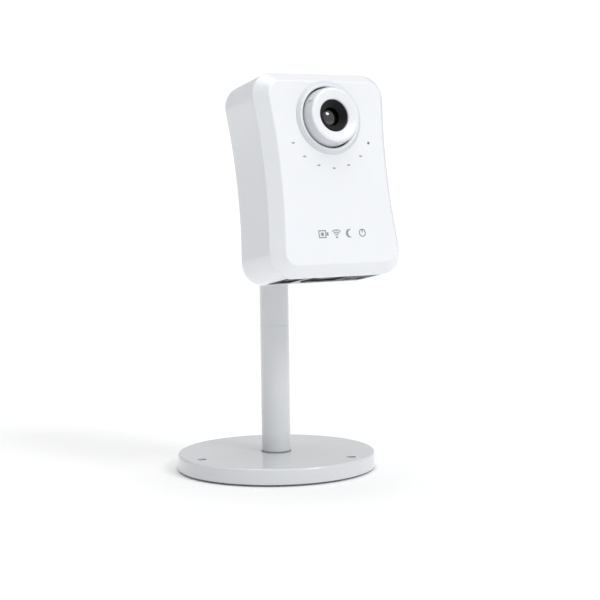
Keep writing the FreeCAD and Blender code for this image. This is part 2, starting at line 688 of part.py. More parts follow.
def rear_bosses(body):
    """Bosses that stand forward from the rear wall for the case, the board and the stud."""
    case = sketch_on(body, "XZ_Plane", "case_bosses", "0 - depth / 2 + wall")
    for x, z in four_places("case_screw_x", "case_screw_high", "case_screw_low"):
        draw_circle(case, "case_boss", x, z)
    pad(body, case, "depth / 2 - wall - case_boss_meet")
    board = sketch_on(body, "XZ_Plane", "board_bosses", "0 - depth / 2 + wall")
    for x, z in four_places("board_screw_x", "board_screw_high", "board_screw_low"):
        draw_circle(board, "board_boss", x, z)
    pad(body, board, "depth / 2 - wall - board_back")
    stud = sketch_on(body, "XZ_Plane", "stud_boss", "0 - depth / 2 + wall")
    draw_circle(stud, "insert_boss", "0", "0 - drop")
    pad(body, stud, "insert_boss_depth - wall")


def rear_cuts(body):
    """Screw holes, the insert's seat, vents and the label's shallow seat, all cut from behind."""
    shanks = sketch_on(body, "XZ_Plane", "shanks", "0 - depth / 2")
    for x, z in four_places("case_screw_x", "case_screw_high", "case_screw_low"):
        draw_circle(shanks, "case_screw_radius", x, z)
    pocket(body, shanks, "depth / 2 - case_boss_meet", backwards=True)
    sinks = sketch_on(body, "XZ_Plane", "sinks", "0 - depth / 2")
    for x, z in four_places("case_screw_x", "case_screw_high", "case_screw_low"):
        draw_circle(sinks, "case_screw_sink", x, z)
    pocket(body, sinks, "case_screw_sink_depth", backwards=True)
    pilots = sketch_on(body, "XZ_Plane", "pilots", "0 - board_back")
    for x, z in four_places("board_screw_x", "board_screw_high", "board_screw_low"):
        draw_circle(pilots, "board_screw_radius", x, z)
    pocket(body, pilots, "board_pilot")
    seat = sketch_on(body, "XZ_Plane", "insert_seat", "0 - depth / 2")
    draw_circle(seat, "insert_radius", "0", "0 - drop")
    pocket(body, seat, "insert_depth", backwards=True)
    vents = sketch_on(body, "XZ_Plane", "vents", "0 - depth / 2")
    for row in range(VENT_ROWS):
        low = f"vent_first + {row} * vent_pitch"
        draw_rectangle(vents, "0 - vent_width / 2", low, "vent_width / 2", f"{low} + vent_height")
    pocket(body, vents, "wall", backwards=True)
    label = sketch_on(body, "XZ_Plane", "label_seat", "0 - depth / 2")
    draw_rectangle(label, "0 - label_width / 2", "label_centre - label_height / 2",
                   "label_width / 2", "label_centre + label_height / 2")
    pocket(body, label, "label_depth", backwards=True)


def bottom_cuts(body):
    """Sunk panel in the underside with the holes that the jacks and the button show through."""
    recess = sketch_on(body, "XY_Plane", "recess", "0 - height / 2")
    draw_rectangle(recess, "recess_x - recess_width / 2", "recess_front", "recess_x + recess_width / 2",
                   "recess_back")
    pocket(body, recess, "recess_depth", backwards=True)
    ports = sketch_on(body, "XY_Plane", "ports", "0 - height / 2")
    draw_rectangle(ports, "port_x - port_width / 2", "board_front - port_depth", "port_x + port_width / 2",
                   "board_front")
    draw_rectangle(ports, "power_x - power_width / 2", "board_front - power_depth",
                   "power_x + power_width / 2", "board_front")
    draw_circle(ports, "audio_collar", "audio_x", "board_front - audio_depth / 2")
    draw_circle(ports, "reset_hole", "reset_x", "reset_y")
    pocket(body, ports, "wall", backwards=True)


def shell_details():
    """Brass stud insert, case screws and the blank label in its seat."""
    forward = Vector(0, -1, 0)
    insert = rod("insert_outside", "insert_radius", "insert_depth", ("0", "depth / 2", "0 - drop"), forward)
    thread = rod("insert_thread", "stud_radius + thread_gap", "insert_depth + 2 * overrun",
                 ("0", "depth / 2 + overrun", "0 - drop"), forward)
    node(cut("tripod_insert", insert, [thread]), HEAD)
    places = four_places("case_screw_x", "case_screw_high", "case_screw_low")
    seat = "depth / 2 - case_screw_sink_depth"
    node(group("case_screws", [
        sideways_screw(f"case_screw_{index}", x, z, "case_screw_head", f"{seat} + case_head_height", seat,
                       "case_screw_radius", seat, "case_screw_tip")
        for index, (x, z) in enumerate(places)]), HEAD)
    head_block("rating_label",
               ("0 - label_width / 2", "depth / 2 - label_depth", "label_centre - label_height / 2"),
               ("label_width / 2", "depth / 2", "label_centre + label_height / 2"))


def bezel_ring():
    body = new_body("bezel_ring")
    turned(body, [
        ("bezel_bore", "0 - face_wall"), ("bezel_hole", "0 - face_wall"), ("bezel_hole", "0"),
        ("bezel_radius", "0"), ("bezel_crest", "bezel_height"), ("bezel_crest - bezel_land", "bezel_height"),
        ("bezel_bore", "bezel_height - bezel_inner_bevel"),
    ])
    node(body, LENS)


# ---------------------------------------------------------------- focus ring and lens

def focus_ring():
    """Hand ring with a funnel mouth, kept in by a flange behind the face and guided on the lens mount."""
    body = new_body("focus_ring")
    turned(body, [
        ("mount_radius + thread_gap", "ring_guide_end"), ("ring_guide", "ring_guide_end"),
        ("ring_guide", "ring_flange_back"), ("ring_flange", "ring_flange_back"),
        ("ring_flange", "ring_flange_front"), ("ring_radius", "ring_flange_front"), ("ring_radius", "0"),
        ("ring_nose", "ring_height"), ("ring_crest", "ring_height"), ("ring_bore + ring_lip", "ring_funnel"),
        ("ring_bore", "ring_funnel - ring_lip"), ("ring_bore", "ring_step"),
        ("mount_radius + thread_gap", "ring_step"),
    ])
    nose = circle_at(body, DIMENSIONS["ring_height"], DIMENSIONS["ring_nose"])
    fillet(body, nose, "ring_rounding")
    notch = sketch_on(body, "XY_Plane", "notch", "ring_height")
    draw_rectangle(notch, "notch_reach", "0 - notch_width / 2", "ring_radius + overrun", "notch_width / 2")
    around(body, pocket(body, notch, "ring_height - notch_foot"), 3)
    notches_turned = f"{about_x('90 - tilt')} * rotation(vector(0; 0; 1); notch_turn)"
    node(body, f"placement({LENS_POINT}; {notches_turned})")


def lens_parts():
    """Threaded barrel, its two glasses and the black cone that keeps the front glass in."""
    barrel = new_body("lens_barrel")
    turned(barrel, [
        ("rear_lens_radius", "barrel_back"), ("barrel_thread", "barrel_back"),
        ("barrel_thread", "barrel_shoulder"), ("barrel_radius", "barrel_shoulder"),
        ("barrel_radius", "barrel_front"), ("barrel_pocket", "barrel_front"),
        ("barrel_pocket", "barrel_pocket_end"), ("front_lens_radius", "barrel_pocket_end"),
        ("front_lens_radius", "front_lens_back"), ("barrel_tunnel", "front_lens_back"),
        ("barrel_tunnel", "rear_lens_front"), ("rear_lens_radius", "rear_lens_front"),
    ])
    node(barrel, LENS)
    retainer = new_body("lens_retainer")
    turned(retainer, [
        ("front_lens_radius", "barrel_pocket_end"), ("barrel_pocket", "barrel_pocket_end"),
        ("barrel_pocket", "retainer_front"), ("retainer_mouth", "retainer_front"),
        ("retainer_throat", "front_lens_dome + retainer_lift"),
        ("front_lens_radius", "barrel_pocket_end + retainer_heel"),
    ])
    node(retainer, LENS)
    glass = rod("front_glass_edge", "front_lens_radius", "barrel_pocket_end - front_lens_back",
                ("0", "0", "front_lens_back"))
    rise = "(front_lens_dome - barrel_pocket_end)"
    radius = f"((front_lens_radius^2 + {rise}^2) / (2 * {rise}))"
    dome = doc.addObject("Part::Sphere", "front_glass_dome")
    dome.setExpression("Radius", linked(radius))
    place(dome, ("0", "0", f"front_lens_dome - {radius}"))
    reach = rod("front_glass_reach", "front_lens_radius", f"{rise} + overrun",
                ("0", "0", "barrel_pocket_end"))
    cap = doc.addObject("Part::Common", "front_glass_cap")
    cap.Base = dome
    cap.Tool = reach
    node(union("front_lens", [glass, cap]), LENS)
    head_rod("rear_lens", "rear_lens_radius", "rear_lens_front - rear_lens_back",
             ("0", "0 - depth / 2 - rear_lens_back", "lens_rise"), "90")


def lens_mount():
    """Square-footed tube on the board with the sensor's pocket and the filter under it."""
    body = new_body("lens_mount")
    foot = "0 - board_front - depth / 2"
    flange = sketch_on(body, "XY_Plane", "flange", foot)
    half = "mount_flange / 2"
    draw_rectangle(flange, f"0 - {half}", f"0 - {half}", half, half)
    pad(body, flange, f"mount_flange_front - ({foot})")
    wall = sketch_on(body, "XY_Plane", "tube", foot)
    draw_circle(wall, "mount_radius")
    pad(body, wall, f"mount_front - ({foot})")
    bore = sketch_on(body, "XY_Plane", "bore", "mount_front")
    draw_circle(bore, "barrel_thread + thread_gap")
    pocket(body, bore, "mount_front - mount_bore_end")
    aperture = sketch_on(body, "XY_Plane", "aperture", foot)
    draw_circle(aperture, "mount_aperture")
    pocket(body, aperture)
    room = sketch_on(body, "XY_Plane", "sensor_room", foot)
    side = "mount_pocket / 2"
    draw_rectangle(room, f"0 - {side}", f"0 - {side}", side, side)
    pocket(body, room, f"mount_pocket_roof - ({foot})", backwards=True)
    holes = sketch_on(body, "XY_Plane", "screw_holes", foot)
    for sign in ("", "0 - "):
        draw_circle(holes, "board_screw_radius", f"{sign}mount_screw_offset", f"{sign}mount_screw_offset")
    pocket(body, holes)
    node(body, LENS)
    node(group("lens_mount_screws", [
        screw(f"lens_mount_screw_{index}", "mount_screw_head", "mount_flange_front",
              "mount_flange_front + mount_head_height", "board_screw_radius",
              "0 - board_back - depth / 2", "mount_flange_front",
              f"{sign}mount_screw_offset", f"{sign}mount_screw_offset")
        for index, sign in enumerate(("", "0 - "))]), LENS)
    head_block("image_sensor",
               ("0 - sensor_width / 2", "board_front - sensor_depth", "lens_rise - sensor_height / 2"),
               ("sensor_width / 2", "board_front", "lens_rise + sensor_height / 2"))
    roof = "0 - depth / 2 - mount_pocket_roof"
    edge = "filter_size / 2"
    head_block("ir_filter", (f"0 - {edge}", roof, f"lens_rise - {edge}"),
               (edge, f"{roof} + filter_depth", f"lens_rise + {edge}"))


# ---------------------------------------------------------------- board and its parts

def main_board():
    """Circuit board notched round the case bosses and drilled for its screws."""
    body = new_body("main_board")
    sheet_sketch = sketch_on(body, "XZ_Plane", "outline", "0 - board_back")
    draw_rectangle(sheet_sketch, "0 - board_width / 2", "board_low", "board_width / 2", "board_high")
    pad(body, sheet_sketch, "board_back - board_front")
    notches = sketch_on(body, "XZ_Plane", "notches", "0 - board_back")
    for x, z in four_places("case_screw_x", "case_screw_high", "case_screw_low"):
        draw_circle(notches, "case_boss + boss_notch_gap", x, z)
    pocket(body, notches)
    holes = sketch_on(body, "XZ_Plane", "holes", "0 - board_back")
    for x, z in four_places("board_screw_x", "board_screw_high", "board_screw_low"):
        draw_circle(holes, "board_screw_radius", x, z)
    for sign in ("", "0 - "):
        draw_circle(holes, "board_screw_radius", f"{sign}mount_screw_offset",
                    f"lens_rise + ({sign}mount_screw_offset)")
    pocket(body, holes)
    node(body, HEAD)
    places = four_places("board_screw_x", "board_screw_high", "board_screw_low")
    node(group("board_screws", [
        sideways_screw(f"board_screw_{index}", x, z, "board_screw_head", "board_front",
                       "board_front - board_head_height", "board_screw_radius",
                       "board_back + board_screw_bite", "board_front")
        for index, (x, z) in enumerate(places)]), HEAD)


def chips():
    """Processor with its finned heat sink and the radio behind the board; memory and coils in front."""
    half = "chip_size / 2"
    top = "board_back + chip_height"
    head_block("processor", (f"0 - {half}", "board_back", f"processor_z - {half}"),
               (half, top, f"processor_z + {half}"))
    side = "sink_size / 2"
    low = f"processor_z - {side}"
    high = f"processor_z + {side}"
    base = block("heat_sink_base", (f"0 - {side}", top, low), (side, f"{top} + sink_base", high))
    fins = []
    for index in range(FIN_COUNT):
        left = f"0 - {side} + {index} * (sink_size - fin_width) / {FIN_COUNT - 1}"
        fins.append(block(f"heat_sink_fin_{index}", (left, top, low),
                          (f"{left} + fin_width", f"{top} + sink_height", high)))
    node(union("heat_sink", [base] + fins), HEAD)
    node(group("memory_chips", [
        block(f"memory_chip_{index}", (left, "board_front - chip_height", "memory_low"),
              (f"{left} + memory_width", "board_front", "memory_high"))
        for index, left in enumerate(("memory_left", "memory_right"))]), HEAD)
    head_block("radio_module", ("radio_left", "board_back", "radio_low"),
               ("radio_right", "board_back + radio_depth", "radio_high"))
    head_block("antenna", ("0 - antenna_width / 2", "depth / 2 - wall - antenna_depth", "antenna_low"),
               ("antenna_width / 2", "depth / 2 - wall", "antenna_high"))
    head_block("pulse_transformer", ("port_x - pulse_width / 2", "board_front - pulse_depth", "pulse_low"),
               ("port_x + pulse_width / 2", "board_front", "pulse_high"))
    node(group("capacitors", [
        rod(f"capacitor_{index}", "capacitor_radius", "capacitor_height", (x, "board_front", "capacitor_z"),
            Vector(0, -1, 0))
        for index, x in enumerate(("capacitor_left", "capacitor_middle", "capacitor_right"))]), HEAD)


# ---------------------------------------------------------------- ports, button and microphone

def ethernet_jack():
    """Network jack, mouth down: a block with a keyed hollow and eight flat contacts on its back wall."""
    mouth = "wall - height / 2"
    front = "board_front - port_depth"
    body = block("port_outside", ("port_x - port_width / 2", front, mouth),
                 ("port_x + port_width / 2", "board_front", f"{mouth} + port_height"))
    room = block("port_room",
                 ("port_x - port_width / 2 + port_wall", f"{front} + port_wall + key_wall",
                  f"{mouth} - overrun"),
                 ("port_x + port_width / 2 - port_wall", "board_front - port_wall", f"{mouth} + port_throat"))
    key = block("port_key",
                ("port_x - key_width / 2", f"{front} + key_wall", f"{mouth} - overrun"),
                ("port_x + key_width / 2", "board_front - port_wall - key_wall",
                 f"{mouth} + port_throat - key_step"))
    node(cut("ethernet_jack", body, [room, key]), HEAD)
    contacts = []
    for index in range(CONTACT_COUNT):
        steps = index - (CONTACT_COUNT - 1) / 2
        left = f"port_x + ({steps}) * contact_pitch - contact_width / 2"
        contacts.append(block(
            f"jack_contact_{index}",
            (left, "board_front - port_wall - port_contact", f"{mouth} + contact_start"),
            (f"{left} + contact_width", "board_front - port_wall", f"{mouth} + port_throat")))
    node(group("jack_contacts", contacts), HEAD)


def power_jack():
    """Barrel power jack, mouth down, with its centre pin."""
    mouth = "wall - height / 2"
    middle = "board_front - power_depth / 2"
    body = block("power_outside", ("power_x - power_width / 2", "board_front - power_depth", mouth),
                 ("power_x + power_width / 2", "board_front", f"{mouth} + power_height"))
    bore = rod("power_bore_room", "power_bore", "power_throat + overrun",
               ("power_x", middle, f"{mouth} - overrun"))
    node(cut("power_jack", body, [bore]), HEAD)
    head_rod("power_pin", "power_pin", "power_throat - pin_recess",
             ("power_x", middle, f"{mouth} + pin_recess"), "0")


def audio_jack():
    """Small round jack, mouth down, with a collar that fills its hole in the shell."""
    mouth = "wall - height / 2"
    middle = "board_front - audio_depth / 2"
    body = block("audio_outside", ("audio_x - audio_width / 2", "board_front - audio_depth", mouth),
                 ("audio_x + audio_width / 2", "board_front", f"{mouth} + audio_height"))
    collar = rod("audio_collar_ring", "audio_collar - collar_play", f"{mouth} - audio_collar_foot",
                 ("audio_x", middle, "audio_collar_foot"))
    bore = rod("audio_bore_room", "audio_bore", "audio_throat + overrun",
               ("audio_x", middle, "audio_collar_foot - overrun"))
    node(cut("audio_jack", union("audio_solid", [body, collar]), [bore]), HEAD)


def reset():
    """Push button that slides up to a switch on the board."""
    body = new_body("reset_button")
    flange_foot = "reset_flange_gap + wall - height / 2"
    turned(body, [("0", "reset_foot"), ("reset_radius - reset_bevel", "reset_foot"),
                  ("reset_radius", "reset_foot + reset_bevel"), ("reset_radius", flange_foot),
                  ("reset_flange", flange_foot), ("reset_flange", "reset_top"), ("0", "reset_top")])
    node(body, f"placement({head_point('reset_x', 'reset_y', '0')}; {about_x('0 - tilt')})")
    head_block("reset_switch",
               ("reset_x - switch_width / 2", "board_front - switch_width", "reset_switch_foot"),
               ("reset_x + switch_width / 2", "board_front", "reset_switch_foot + switch_height"))


def arc_parts():
    """Light pipes behind the small windows, their lamps on the board, and the microphone in its boot."""
    forward = Vector(0, -1, 0)
    pipes = []
    lamps = []
    for step in range(-LAST_ARC_STEP, LAST_ARC_STEP):
        x, z = arc_place(step)
        index = step + LAST_ARC_STEP
        pipes.append(rod(f"light_pipe_{index}", "light_radius", "0 - light_back",
                         (x, "0 - light_back - depth / 2", z), forward))
        lamps.append(rod(f"lamp_{index}", "light_radius", "board_front + depth / 2 + light_back",
                         (x, "board_front", z), forward))
    node(group("light_pipes", pipes), HEAD)
    node(group("status_lamps", lamps), HEAD)
    x, z = arc_place(LAST_ARC_STEP)
    behind_face = "face_wall - depth / 2"
    past_boot = f"{behind_face} + boot_depth + overrun"
    outside = rod("boot_outside", "boot_radius", "boot_depth", (x, f"{behind_face} + boot_depth", z), forward)
    capsule_room = rod("boot_room", "mic_radius", "boot_depth - boot_floor + overrun", (x, past_boot, z),
                       forward)
    hole = rod("boot_hole", "mic_hole", "boot_depth + 2 * overrun", (x, past_boot, z), forward)
    node(cut("microphone_boot", outside, [capsule_room, hole]), HEAD)
    head_rod("microphone", "mic_radius", "mic_depth", (x, f"{behind_face} + boot_floor + mic_depth", z), "90")


# ---------------------------------------------------------------- document

def check_document():
    """Stop if any object failed to rebuild or any sub-part's shape is missing or not valid."""
    for item in doc.Objects:
        if {"Invalid", "Error"} & set(item.State):
            raise RuntimeError(f"{item.Name} did not rebuild: {item.State}")
    for item in nodes:
        if item.Shape.isNull() or not item.Shape.isValid():
            raise RuntimeError(f"{item.Label} has no valid shape")
    if len(nodes) > HIGHEST_NODE_COUNT:
        raise RuntimeError("too many sub-parts")


def write_parts():
    os.makedirs("parts", exist_ok=True)
    for item in nodes:
        item.Shape.exportStep(f"parts/{item.Label}.step")


def main():
    fill_sheet()
    for build in (foot_pad, ballast_plate, base_cover, ballast_screws, pole, pole_top_plug, ball_socket,
                  socket_cap, clamp, ball_and_stud, front_cover, rear_cover, shell_details, bezel_ring,
                  focus_ring, lens_parts, lens_mount, main_board, chips, ethernet_jack, power_jack,
                  audio_jack, reset, arc_parts):
        build()
    doc.recompute()
    check_document()
    write_parts()


main()
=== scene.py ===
"""Desk security camera on a ball-jointed stand: the shown pieces and their finishes.

Sizes are in millimetres in each sub-assembly's own frame. Blender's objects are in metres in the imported
model's frame. The head's frame has its origin at the head's centre, X to the right seen from the front, Y to
the rear and Z up. The turned frames of the lens and of the stud have Z along the way the lens looks.
"""

import enum
import json
import logging
import math
from collections.abc import Callable, Mapping, Sequence
from dataclasses import dataclass, field
from typing import Any

import bmesh
import bpy
from mathutils import Matrix, Vector


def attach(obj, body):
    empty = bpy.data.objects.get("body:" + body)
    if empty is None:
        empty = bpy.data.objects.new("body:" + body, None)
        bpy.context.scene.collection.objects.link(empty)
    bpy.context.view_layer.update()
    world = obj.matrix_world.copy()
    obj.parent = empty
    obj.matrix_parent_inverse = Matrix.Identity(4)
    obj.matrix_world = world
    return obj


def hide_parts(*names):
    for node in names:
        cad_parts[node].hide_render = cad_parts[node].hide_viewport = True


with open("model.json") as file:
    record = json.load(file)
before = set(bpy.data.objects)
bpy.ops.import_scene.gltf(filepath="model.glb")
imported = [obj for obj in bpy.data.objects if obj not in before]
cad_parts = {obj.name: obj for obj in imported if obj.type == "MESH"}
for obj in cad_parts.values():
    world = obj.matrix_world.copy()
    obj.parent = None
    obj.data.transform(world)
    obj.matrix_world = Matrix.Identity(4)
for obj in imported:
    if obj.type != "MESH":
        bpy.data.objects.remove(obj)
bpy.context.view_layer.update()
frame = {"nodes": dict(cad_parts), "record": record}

MM = 0.001
LOG = logging.getLogger("desk_camera")

NEAR = 0.01    # millimetres within which a point counts as lying on a face

Profile = Sequence[tuple[float, float]]
EdgeTest = Callable[[bmesh.types.BMEdge], bool]


# ---------------------------------------------------------------- finishes

def linear(hex_colour: str) -> tuple[float, float, float, float]:
    """Turn an sRGB hex colour into linear light.

    Args:
        hex_colour: Six hex digits with or without a leading hash.

    Returns:
        Linear red, green and blue, and an alpha of one.
    """
    digits = hex_colour.lstrip("#")
    values = [int(digits[i:i + 2], 16) / 255 for i in (0, 2, 4)]
    red, green, blue = (v / 12.92 if v <= 0.04045 else ((v + 0.055) / 1.055) ** 2.4 for v in values)
    return red, green, blue, 1.0


def add_node(tree: bpy.types.NodeTree, kind: str, settings: Mapping[str, Any] | None = None,
             inputs: Mapping[Any, Any] | None = None) -> bpy.types.Node:
    """Add a shader node with its settings and its inputs.

    Args:
        tree: The node tree to add to.
        kind: The node's type after "ShaderNode".
        settings: Attributes of the node.
        inputs: Input names or numbers, each with a number, a colour or another node's socket.

    Returns:
        The new node.
    """
    node = tree.nodes.new("ShaderNode" + kind)
    for name, value in (settings or {}).items():
        setattr(node, name, value)
    for name, value in (inputs or {}).items():
        if isinstance(value, bpy.types.NodeSocket):
            tree.links.new(value, node.inputs[name])
        else:
            node.inputs[name].default_value = value
    return node


class Grain(enum.Enum):
    """How a surface's fine relief was made."""

    MOULDED = "moulded"
    TURNED = "turned"
    CAST = "cast"


@dataclass(frozen=True)
class Finish:
    """One real material: its colour, its gloss and the relief and unevenness that its making leaves."""

    name: str
    colour: str
    shade: str
    rough: float
    grain: Grain = Grain.MOULDED
    metallic: float = 0.0
    ior: float = 1.5
    coat: float = 0.0
    grain_mm: float = 0.5
    relief_mm: float = 0.004
    mottle_mm: float = 14.0
    rough_spread: float = 0.06
    transmission: float = 0.0
    film_nm: float = 0.0
    subsurface: float = 0.0

    def material(self) -> bpy.types.Material:
        """Make the material once and hand it out after that.

        Returns:
            The material of this finish.
        """
        known = bpy.data.materials.get(self.name)
        if known:
            return known
        made = bpy.data.materials.new(self.name)
        made.use_nodes = True
        made.diffuse_color = linear(self.colour)
        tree = made.node_tree
        tree.nodes.clear()
        place = add_node(tree, "TexCoord").outputs["Object"]
        uneven = add_node(tree, "TexNoise", inputs={
            "Vector": place, "Scale": 1 / (self.mottle_mm * MM), "Detail": 3.0, "Roughness": 0.55})
        colour = add_node(tree, "Mix", {"data_type": "RGBA"}, {
            0: uneven.outputs["Fac"], 6: linear(self.colour), 7: linear(self.shade)}).outputs[2]
        gloss = add_node(tree, "MapRange", inputs={
            "Value": uneven.outputs["Fac"], "From Min": 0.3, "From Max": 0.7,
            "To Min": self.rough, "To Max": self.rough + self.rough_spread})
        shader = add_node(tree, "BsdfPrincipled", inputs={
            "Metallic": self.metallic, "Coat Weight": self.coat, "Coat Roughness": 0.08,
            "Transmission Weight": self.transmission, "Thin Film Thickness": self.film_nm,
            "Subsurface Weight": self.subsurface, "Subsurface Scale": 0.002,
            "Base Color": self.tint(tree, place, colour), "Roughness": gloss.outputs["Result"],
            "Normal": self.relief(tree, place)})
        if not self.metallic:
            shader.inputs["IOR"].default_value = self.ior
        add_node(tree, "OutputMaterial", inputs={"Surface": shader.outputs["BSDF"]})
        return made

    def tint(self, tree: bpy.types.NodeTree, place: bpy.types.NodeSocket,
             colour: bpy.types.NodeSocket) -> bpy.types.NodeSocket:
        """Give the base colour, which plainer finishes leave as it is.

        Args:
            tree: The material's nodes.
            place: Object coordinates.
            colour: The evenly mottled colour.

        Returns:
            The socket that the shader's base colour reads.
        """
        return colour

    def relief(self, tree: bpy.types.NodeTree, place: bpy.types.NodeSocket) -> bpy.types.NodeSocket:
        """Make the fine relief of the surface.

        Args:
            tree: The material's nodes.
            place: Object coordinates.

        Returns:
            A normal for the shader.
        """
        scale = 1 / (self.grain_mm * MM)
        if self.grain is Grain.TURNED:
            stretched = add_node(tree, "Mapping", inputs={"Vector": place, "Scale": (0.15, 0.15, 1.0)})
            height = add_node(tree, "TexNoise", inputs={
                "Vector": stretched.outputs["Vector"], "Scale": scale, "Detail": 2.0}).outputs["Fac"]
        elif self.grain is Grain.CAST:
            height = add_node(tree, "TexVoronoi", {"feature": "SMOOTH_F1"}, {
                "Vector": place, "Scale": scale}).outputs["Distance"]
        else:
            height = add_node(tree, "TexNoise", inputs={
                "Vector": place, "Scale": scale, "Detail": 4.0, "Roughness": 0.6}).outputs["Fac"]
        return add_node(tree, "Bump", inputs={
            "Strength": 0.6, "Distance": self.relief_mm * MM, "Height": height}).outputs["Normal"]


@dataclass(frozen=True)
class CircuitLaminate(Finish):
    """Glass-fibre laminate under green lacquer, with lighter copper tracks showing through."""

    track_mm: float = 2.4
    track_colour: str = "#2F7A48"
    track_edge: tuple[float, float] = (0.04, 0.07)

    def tint(self, tree: bpy.types.NodeTree, place: bpy.types.NodeSocket,
             colour: bpy.types.NodeSocket) -> bpy.types.NodeSocket:
        """Lay a net of tracks over the lacquer.

        Args:
            tree: The material's nodes.
            place: Object coordinates.
            colour: The lacquer's colour.

        Returns:
            The colour with tracks.
        """
        cells = add_node(tree, "TexVoronoi", {"feature": "DISTANCE_TO_EDGE", "distance": "EUCLIDEAN"}, {
            "Vector": place, "Scale": 1 / (self.track_mm * MM)})
        inner, outer = self.track_edge
        edge = add_node(tree, "MapRange", inputs={
            "Value": cells.outputs["Distance"], "From Min": inner, "From Max": outer,
            "To Min": 1.0, "To Max": 0.0})
        return add_node(tree, "Mix", {"data_type": "RGBA"}, {
            0: edge.outputs["Result"], 6: colour, 7: linear(self.track_colour)}).outputs[2]

# High-gloss ABS from a polished mould: a near-white with a sharp but faintly wavy reflection.
WHITE_ABS = Finish("white_abs_polished_mould", "#ECEEF1", "#E9EBEE", 0.20, grain_mm=2.2, relief_mm=0.006,
                   coat=0.25, subsurface=0.04)
# The sides of the focus ring and its bezel: matt white ABS from a spark-eroded part of the mould, painted a
# shade darker to stand for the shade on these slopes.
GRIP_ABS_PAINTED_SHADE = Finish("white_abs_spark_eroded_painted_shade", "#D9DBDE", "#D0D2D6", 0.42, Grain.CAST, grain_mm=0.35,
                  relief_mm=0.012)
# The same ABS in the stand's cooler pale grey, polished so that the pole shows in the disc.
GREY_ABS = Finish("pale_grey_abs_polished_mould", "#D6D8DB", "#D3D5D8", 0.04, grain_mm=3.0, relief_mm=0.001,
                  coat=0.5, rough_spread=0.02)
# Sprayed and stoved enamel on a drawn tube: smooth, a little softer than the plastic.
POLE_ENAMEL = Finish("pale_grey_stoved_enamel", "#D8DADC", "#D4D6D8", 0.20, grain_mm=0.8, relief_mm=0.002,
                     coat=0.5)
# Nitrile brake pad and microphone boot: nearly black and matt, with a sanded skin.
NITRILE = Finish("black_nitrile_rubber", "#26272A", "#303136", 0.78, Grain.CAST, relief_mm=0.03)
# Grey silicone of the foot and the gasket: a matt line between two pale parts.
GREY_SILICONE = Finish("grey_silicone_rubber", "#8E9194", "#85888C", 0.62, Grain.CAST, relief_mm=0.02)
# Black polycarbonate of the lens: satin, with turned bands that catch the light.
BLACK_PC = Finish("black_polycarbonate_satin", "#08080A", "#101012", 0.30, Grain.TURNED, relief_mm=0.01,
                  ior=1.35)
# Matt black paint in the throat of the lens, which kills stray light.
THROAT_PAINT = Finish("matt_black_optical_paint", "#040405", "#080809", 0.42, ior=1.38, grain_mm=0.2,
                      relief_mm=0.01)
# Coated crown glass over the dark of the barrel: nearly black with a brown cast.
COATED_GLASS = Finish("coated_crown_glass", "#0B0908", "#100D0B", 0.02, coat=1.0, ior=1.62,
                      relief_mm=0.0, rough_spread=0.01, mottle_mm=6.0)
# Dichroic filter glass in front of the sensor: blue-green, with the sheen of a thin film.
FILTER_GLASS = Finish("dichroic_filter_glass", "#4E8E8A", "#5B7FA0", 0.04, transmission=0.7, film_nm=420.0,
                      relief_mm=0.0, rough_spread=0.01)
# Frosted acrylic light windows, unlit, which look grey in the white face.
GREY_ACRYLIC = Finish("frosted_acrylic_window", "#A6AAAE", "#979CA1", 0.30, grain_mm=0.3, ior=1.49,
                      relief_mm=0.006)
# Pad-printed grey ink: a thin matt film with a slightly raised edge.
GREY_INK = Finish("pad_printed_grey_ink", "#8C8F93", "#94979B", 0.45, grain_mm=0.25, relief_mm=0.006)
# Nickel-plated steel screws and washers: a warm bright metal with fine turning marks.
PLATED_STEEL = Finish("nickel_plated_steel", "#B9B8B4", "#A9A8A5", 0.24, Grain.TURNED, metallic=1.0,
                      grain_mm=0.25, relief_mm=0.006)
# Ground steel of the ball and the ballast plate: a cooler, duller metal.
GROUND_STEEL = Finish("ground_steel", "#9C9DA0", "#8B8C90", 0.30, Grain.TURNED, metallic=1.0, grain_mm=0.35,
                      relief_mm=0.008)
# Turned brass of the stud insert: yellow, with turning marks.
TURNED_BRASS = Finish("turned_brass", "#C9A24E", "#B38D40", 0.26, Grain.TURNED, metallic=1.0, grain_mm=0.3,
                      relief_mm=0.008)
# Thin gold over nickel on the jack's contacts: smooth and bright.
GOLD_PLATE = Finish("gold_plated_contact", "#E2B457", "#D3A548", 0.20, metallic=1.0, grain_mm=0.2,
                    relief_mm=0.003)
# Extruded aluminium, clear anodised, of the heat sink and the cans: pale and silky.
ANODISED = Finish("clear_anodised_aluminium", "#C3C5C8", "#B5B7BA", 0.38, Grain.TURNED, metallic=1.0,
                  grain_mm=0.3, relief_mm=0.01)
# Lacquered laminate of the boards: deep green, with the tracks a lighter green.
LAMINATE = CircuitLaminate("green_lacquered_laminate", "#14502B", "#0F4424", 0.32, grain_mm=0.4,
                           relief_mm=0.01)
# Epoxy moulding compound of the chips: dark grey and finely spark-eroded.
CHIP_EPOXY = Finish("epoxy_moulding_compound", "#1A1A1C", "#222225", 0.60, Grain.CAST, grain_mm=0.3,
                    relief_mm=0.015)
# Glass-filled nylon of the jacks: black with a slight grey bloom.
BLACK_NYLON = Finish("black_glass_filled_nylon", "#161618", "#1F1F22", 0.48, Grain.CAST, grain_mm=0.35,
                     relief_mm=0.02)
# Seamless paper of the studio floor: white, without gloss.
SEAMLESS_PAPER = Finish("seamless_white_paper", "#F8F8F8", "#F7F7F7", 0.60, grain_mm=1.0, relief_mm=0.0,
                        ior=1.0)
# Polyester label film: a silvery white with a matt face.
LABEL_FILM = Finish("silver_polyester_label", "#DADCDD", "#CFD1D3", 0.42, grain_mm=0.4)

